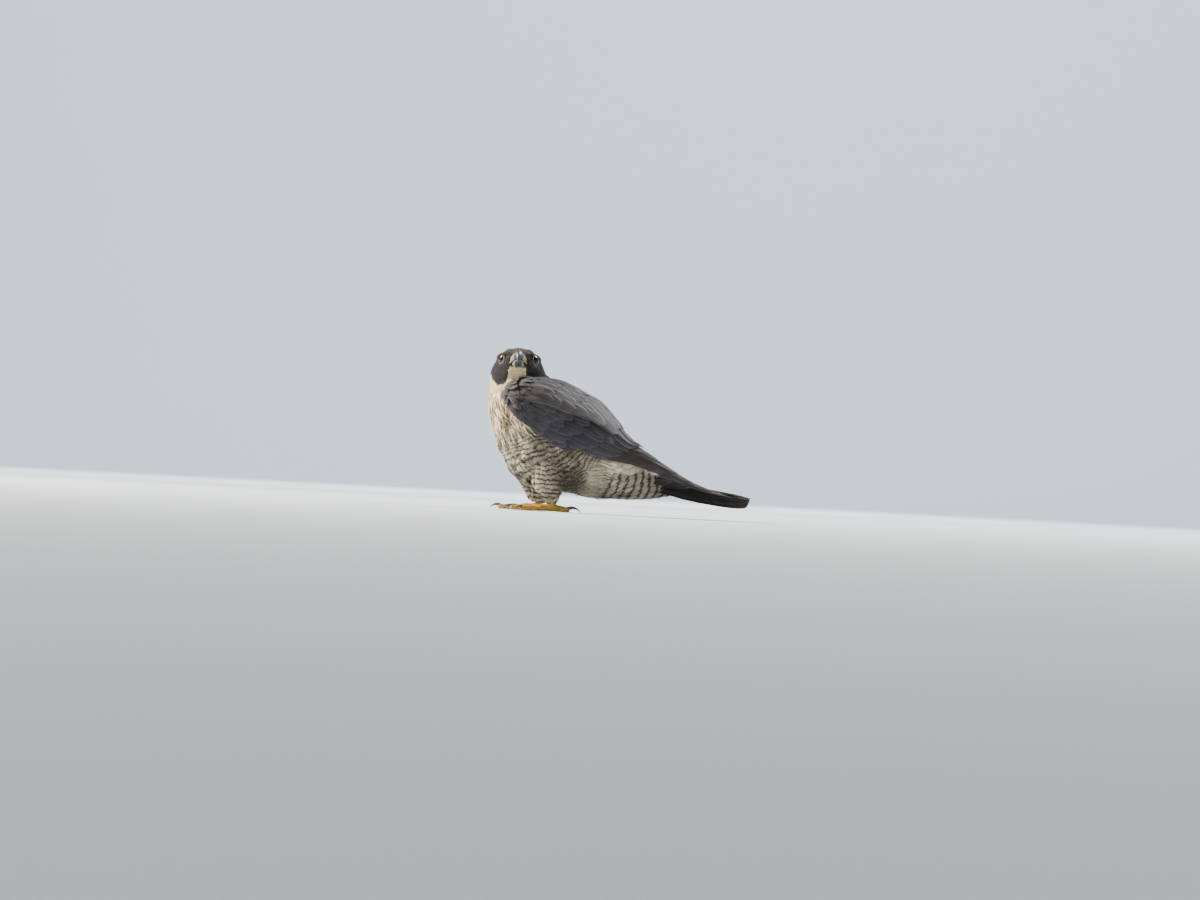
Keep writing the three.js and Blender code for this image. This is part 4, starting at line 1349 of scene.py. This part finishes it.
class FALCON_OT_tail(bpy.types.Operator):
    """Lay the twelve tail feathers and their coverts"""

    bl_idname = "falcon.tail"
    bl_label = "Tail Feathers"

    def execute(self, context):
        tail = Feathers(tail_point, (0, 0, 1), 41)
        for pair in range(TAIL_PAIRS):
            for hand in (1, -1):
                root = hand * (pair + 0.5) / TAIL_PAIRS * 0.55
                tip = hand * (pair + 0.5) / TAIL_PAIRS * 0.76
                end = 1 - 0.003 * pair * pair
                low = -LAYER * pair
                tail.row(1, ((0.05, root), (0.05, root)), ((end, tip), (end, tip)), (17, 17),
                         ((low, low), (low, low)), "tail", (0.0, 0.95, 0.9), 0, 0.3 * hand, 0)
        for k in range(4):
            u = 0.16 - 0.05 * k
            tail.row(6, ((u, -0.38), (u, 0.38)), ((u + 0.2, -0.34), (u + 0.2, 0.34)), (14, 14),
                     ((0.4, 0.4), (3.4 + 0.4 * k, 3.4 + 0.4 * k)), "covert", (0.1, 0.5, 0.6), tilt=0)
        mesh = tail.mesh("tail_feathers")
        # The tail uses the wing material at 0.42 of its brightness: its own darker tone together with painted
        # shade
        made = wing_material("Tail Feathers", barbs_tree(), 0.42)
        add_object("tail_feathers", mesh, made, ("tail",))
        return {"FINISHED"}


def bill_sections(rows, grow=0.0, tooth=0.0, narrow=0.3):
    def sections(t, angle):
        x, z, half_depth, half_width, dip = np.moveaxis(rows_at(rows, t), -1, 0)
        dip = np.radians(dip)
        down = np.clip(-np.cos(angle), 0, 1)
        depth = half_depth + grow + tooth * np.exp(-(((t - 0.52) / 0.07) ** 2)) * down**4
        up = np.cos(angle) * depth
        side = np.sin(angle) * (half_width + grow) * (1 - narrow * np.cos(angle))
        local = np.stack([x + np.sin(dip) * up, side, z + np.cos(dip) * up], -1)
        return from_head(local)

    return sections


def gape_points(hand):
    """The yellow edge of the mouth, from the bill's side back to its corner."""
    rows = [
        (31.5, 6.2, -2.0, 0.8),
        (30, 8.2, -3.2, 1.5),
        (28.4, 9.8, -4.3, 1.6),
        (26.6, 11, -5.2, 1.2),
        (24.8, 11.8, -5.8, 0.5),
    ]

    def sections(t, angle):
        x, y, z, r = np.moveaxis(rows_at(rows, t), -1, 0)
        return from_head(np.stack([x + np.cos(angle) * r, y * hand, z + np.sin(angle) * r], -1))

    return sections


class FALCON_OT_bill(bpy.types.Operator):
    """Make both halves of the bill and the cere with its nostrils"""

    bl_idname = "falcon.bill"
    bl_label = "Bill and Cere"

    def execute(self, context):
        colours = context.scene.falcon_colours
        horn = horn_material("Bill Horn", colours.bill_tip, colours.bill_base, 0.35, 0.75)
        for name, rows, tooth in (("bill_upper", UPPER_BILL, 1.3), ("bill_lower", LOWER_BILL, 0)):
            bm = loft(bill_sections(rows, 0.0, tooth), 40, 36)
            mesh = mesh_of(bm, f"{name}_horn")
            local = to_head(places_of(mesh))
            middle = 0.85 * (1 - smooth(np.abs(local[:, 1]), 1.5, 6.0))
            put_numbers(mesh, "Along", np.clip((local[:, 0] - 27) / 15 + middle, 0, 1))
            add_object(f"{name}_horn", mesh, horn, (name,))
        skin = skin_material("Cere Skin", colours.cere, colours.deep_cere, 2600)
        cere = loft(bill_sections(CERE, narrow=0.4), 40, 18)
        for hand in (1, -1):
            take_in(cere, loft(gape_points(hand), 14, 24))
        add_object("cere", mesh_of(cere, "cere"), skin)
        # Near-black balls in the cere stand for the shaded nostril holes: painted shade
        pits = bmesh.new()
        for hand in (1, -1):
            at = (from_head([30.0, 8.0 * hand, 4.6]) + SHIFT) * MM
            ball = bmesh.ops.create_uvsphere(pits, u_segments=20, v_segments=12, radius=1.5 * MM)
            bmesh.ops.translate(pits, verts=ball["verts"], vec=at)
        nostril_shade, _, _ = material("Nostril", 0.9, Base_Color=(0.012, 0.009, 0.007, 1), Specular_IOR_Level=0.1)
        add_object("nostrils", mesh_of(pits, "nostrils"), nostril_shade)
        return {"FINISHED"}


class FALCON_OT_eyes(bpy.types.Operator):
    """Make the eyes and the bare yellow rims round them"""

    bl_idname = "falcon.eyes"
    bl_label = "Eyes and Lids"

    def execute(self, context):
        colours = context.scene.falcon_colours
        glass = eye_material()
        skin = skin_material("Lid Skin", colours.lid, colours.deep_lid, 1500)
        for side, hand in (("left", 1), ("right", -1)):
            gaze, fore, rise = eye_axes(hand)
            middle = EYE_AT * [1, hand, 1]

            def ball(t, angle):
                polar = t * math.pi
                ring = fore[None] * np.cos(angle)[:, None] + rise[None] * np.sin(angle)[:, None]
                around = ring * np.sin(polar)[:, None] + gaze[None] * np.cos(polar)[:, None]
                return from_head(middle + around * (EYE_RADIUS - 0.05))

            bm = loft(ball, 48, 40, close=False)
            mesh = mesh_of(bm, f"eyeball_{side}")
            local = to_head(places_of(mesh)) - middle
            polar = np.arccos(np.clip(unit(local) @ gaze, -1, 1)) / math.pi
            turn = np.arctan2(local @ rise, local @ fore) / (2 * math.pi) + 0.5
            put_attributes(mesh, {"Gaze": np.stack([polar, turn], -1)}, {})
            add_object(f"eyeball_{side}", mesh, glass, (f"eye_{side}",))

            def rim(t, angle):
                turn = t * 2 * math.pi
                ring = fore[None] * np.cos(turn)[:, None] + rise[None] * np.sin(turn)[:, None]
                fold = 1 + 0.1 * np.sin(turn * 11)
                wide = 0.8 * fold * (1 - 0.85 * smooth(np.sin(turn) - 0.5 * np.cos(turn), -0.7, 0.3))
                along, over = wide * np.cos(angle), 0.1 + 0.5 * wide * np.sin(angle)
                out = (EYE_RADIUS + over) * math.sin(LID_ANGLE) + along * math.cos(LID_ANGLE)
                high = (EYE_RADIUS + over) * math.cos(LID_ANGLE) - along * math.sin(LID_ANGLE)
                return from_head(middle + ring * out[:, None] + gaze[None] * high[:, None])

            bm = loft(rim, 10, 96, close=False)
            bmesh.ops.remove_doubles(bm, verts=bm.verts, dist=1e-5)
            add_object(f"lid_{side}", mesh_of(bm, f"lid_{side}"), skin)
        return {"FINISHED"}


def toe_axes(foot, toe):
    """The root of a toe, and the directions along it and across it."""
    x, y, inward = foot
    angle = math.radians(180 - inward * toe[2])
    ahead = np.array([math.cos(angle), math.sin(angle), 0])
    return np.array([x, y, 0]), ahead, np.array([-ahead[1], ahead[0], 0])


def toe_points(foot, toe):
    root, ahead, side = toe_axes(foot, toe)
    _, length, _, _, half = toe

    def sections(t, around):
        swell = 1 + 0.13 * np.cos(t * 6 * math.pi)
        end = np.sqrt(np.clip(1 - ((t - 0.9) / 0.1).clip(0, 1) ** 2, 0.02, 1))
        radius = half * swell * lerp(1.12, 0.86, t) * end
        height = half * lerp(1.12, 0.86, t) * 0.92 + lerp(2.2, 0, np.minimum(1, t * 2))
        centre = root + ahead * (t * length * 1.03)[:, None]
        ring = side * (np.cos(around) * radius)[:, None]
        point = centre + ring
        point[:, 2] = height + np.sin(around) * radius
        point[:, 2] = np.where(point[:, 2] < 0.7, 0.7 - (0.7 - point[:, 2]) * 0.15, point[:, 2])
        point[:, 2] = np.maximum(point[:, 2], 0.02)
        return point

    return sections


def leg_points(foot):
    x, y, _ = foot
    rows = [
        (x, 4.2, 5.4),
        (x + 1, 13, TARSUS_RADIUS),
        (x + 7, 26, TARSUS_RADIUS),
        (x + 14, 40, TARSUS_RADIUS * 1.1),
    ]

    def sections(t, around):
        cx, cz, r = np.moveaxis(rows_at(rows, t), -1, 0)
        return np.stack([cx + np.cos(around) * r, y + np.sin(around) * r * 0.9, cz], -1)

    return sections


def claw_points(foot, toe):
    root, ahead, side = toe_axes(foot, toe)
    _, length, _, claw, half = toe
    sweep = math.radians(95)
    first = math.radians(-32)
    radius = claw / sweep

    def sections(t, around):
        bend = t * sweep + first
        reach = radius * (np.sin(bend) - math.sin(first))
        drop = radius * (math.cos(first) - np.cos(bend))
        girth = lerp(half * 0.66, 0.3, t**0.8)
        centre = root + ahead * (length - 2 + reach)[:, None]
        centre[:, 2] = half * 1.15 - drop
        up = ahead * np.sin(bend)[:, None]
        up[:, 2] = np.cos(bend)
        across = side * (np.cos(around) * girth * 0.8)[:, None]
        point = centre + up * (np.sin(around) * girth)[:, None] + across
        point[:, 2] = np.maximum(point[:, 2], 0.05)
        return point

    return sections


class FALCON_OT_feet(bpy.types.Operator):
    """Make the scaly feet and their claws"""

    bl_idname = "falcon.feet"
    bl_label = "Feet and Claws"

    def execute(self, context):
        colours = context.scene.falcon_colours
        skin = skin_material("Foot Skin", colours.yellow, colours.deep_yellow, 650)
        horn = horn_material("Claw Horn", (0.012, 0.011, 0.012), (0.06, 0.055, 0.055), 0.1, 0.6)
        for side, foot in FEET.items():
            bm = loft(leg_points(foot), 28, 30)
            for toe in TOES:
                take_in(bm, loft(toe_points(foot, toe), 24, 48))
            bm = remeshed(bm, FOOT_VOXEL)
            relax(bm, bm.verts, 4)
            for v in bm.verts:
                v.co.z = max(v.co.z, 0.00002)
            name = f"foot_skin_{side}"
            add_object(name, mesh_of(bm, name), skin, (f"foot_{side}",))
            claws = bmesh.new()
            for toe in TOES:
                take_in(claws, loft(claw_points(foot, toe), 16, 22))
            mesh = mesh_of(claws, f"claws_{side}")
            put_numbers(mesh, "Along", np.zeros(len(mesh.vertices)))
            names = [f"claw_{side}_{toe[0]}" for toe in TOES]
            add_object(f"claws_{side}", mesh, horn, names)
        return {"FINISHED"}


class FALCON_OT_stage(bpy.types.Operator):
    """Set the floor, the lights and the camera"""

    bl_idname = "falcon.stage"
    bl_label = "Stage"

    def execute(self, context):
        sizes = context.scene.falcon_sizes
        bm = bmesh.new()
        bmesh.ops.create_grid(bm, x_segments=72, y_segments=40, size=1)
        for v in bm.verts:
            angle = (v.co.x + 1) * math.pi
            run = (v.co.y + 1) / 2 * FLOOR_RUN
            bend = min(max(run - FLOOR_FLAT, 0) / FLOOR_BEND, math.pi / 2)
            radius = min(run, FLOOR_FLAT) + FLOOR_BEND * math.sin(bend)
            height = FLOOR_BEND * (1 - math.cos(bend)) + max(run - FLOOR_FLAT - FLOOR_BEND * math.pi / 2, 0)
            v.co = (radius * math.cos(angle), radius * math.sin(angle), height)
        bmesh.ops.remove_doubles(bm, verts=bm.verts, dist=1e-4)
        bmesh.ops.recalc_face_normals(bm, faces=bm.faces)
        bmesh.ops.reverse_faces(bm, faces=bm.faces)
        floor = bpy.data.objects.new("floor", mesh_of(bm, "floor"))
        context.scene.collection.objects.link(floor)
        floor.data.materials.append(stage_material())

        world = bpy.data.worlds.new("Studio")
        context.scene.world = world
        world.use_nodes = True
        world.node_tree.nodes["Background"].inputs[0].default_value = (0.86, 0.9, 1.0, 1)
        world.node_tree.nodes["Background"].inputs[1].default_value = 0.16
        bird = (-0.03, 0, 0.08)
        lamps = [
            ("key", (-4.3, 0.6, 3.0), bird, 1.0, 1050, (1, 0.94, 0.84)),
            ("fill", (0.6, -4.8, 2.4), bird, 2.6, 14, (0.88, 0.94, 1)),
            ("rim", (2.2, 2.6, 3.0), bird, 1.6, 270, (0.95, 0.98, 1)),
            ("backdrop", (0, 4, 4), (0, 11, 1.5), 3.0, 760, (0.88, 0.94, 1)),
        ]
        for name, place, aimed_at, size, power, colour in lamps:
            light = bpy.data.lights.new(name, "AREA")
            light.size = size
            light.energy = power
            light.color = colour
            lamp = bpy.data.objects.new(name, light)
            context.scene.collection.objects.link(lamp)
            lamp.location = place
            aim = Vector(aimed_at) - Vector(place)
            lamp.rotation_euler = aim.to_track_quat("-Z", "Y").to_euler()

        target = Vector(TARGET)
        data = bpy.data.cameras.new("camera")
        data.lens = LENS
        data.sensor_width = SENSOR
        data.clip_end = 60
        camera = bpy.data.objects.new("camera", data)
        context.scene.collection.objects.link(camera)
        camera.location = (target.x, -sizes.camera_distance, sizes.camera_height)
        look = (target - camera.location).to_track_quat("-Z", "Y")
        roll = Euler((0, 0, sizes.camera_roll)).to_quaternion()
        camera.rotation_euler = (look @ roll).to_euler()
        context.scene.camera = camera
        return {"FINISHED"}


OPERATORS = (
    FALCON_OT_skin,
    FALCON_OT_wings,
    FALCON_OT_tail,
    FALCON_OT_bill,
    FALCON_OT_eyes,
    FALCON_OT_feet,
    FALCON_OT_stage,
)


class FALCON_PT_panel(bpy.types.Panel):
    """Lists the falcon's operators and settings"""

    bl_idname = "FALCON_PT_panel"
    bl_label = "Falcon"
    bl_space_type = "VIEW_3D"
    bl_region_type = "UI"
    bl_category = "Falcon"

    def draw(self, context):
        layout = self.layout
        for operator in OPERATORS:
            layout.operator(operator.bl_idname)
        for group in (context.scene.falcon_sizes, context.scene.falcon_colours):
            box = layout.box()
            for name in group.bl_rna.properties.keys():
                if name not in ("rna_type", "name"):
                    box.prop(group, name)


CLASSES = (FalconColours, FalconSizes) + OPERATORS + (FALCON_PT_panel,)


def register():
    for cls in CLASSES:
        bpy.utils.register_class(cls)
    bpy.types.Scene.falcon_colours = bpy.props.PointerProperty(type=FalconColours)
    bpy.types.Scene.falcon_sizes = bpy.props.PointerProperty(type=FalconSizes)


def unregister():
    del bpy.types.Scene.falcon_sizes
    del bpy.types.Scene.falcon_colours
    for cls in reversed(CLASSES):
        bpy.utils.unregister_class(cls)


def main():
    register()
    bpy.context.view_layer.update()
    bpy.ops.falcon.stage()
    bpy.ops.falcon.skin()
    bpy.ops.falcon.wings()
    bpy.ops.falcon.tail()
    bpy.ops.falcon.bill()
    bpy.ops.falcon.eyes()
    bpy.ops.falcon.feet()
    bpy.context.view_layer.update()


if __name__ == "__main__":
    main()
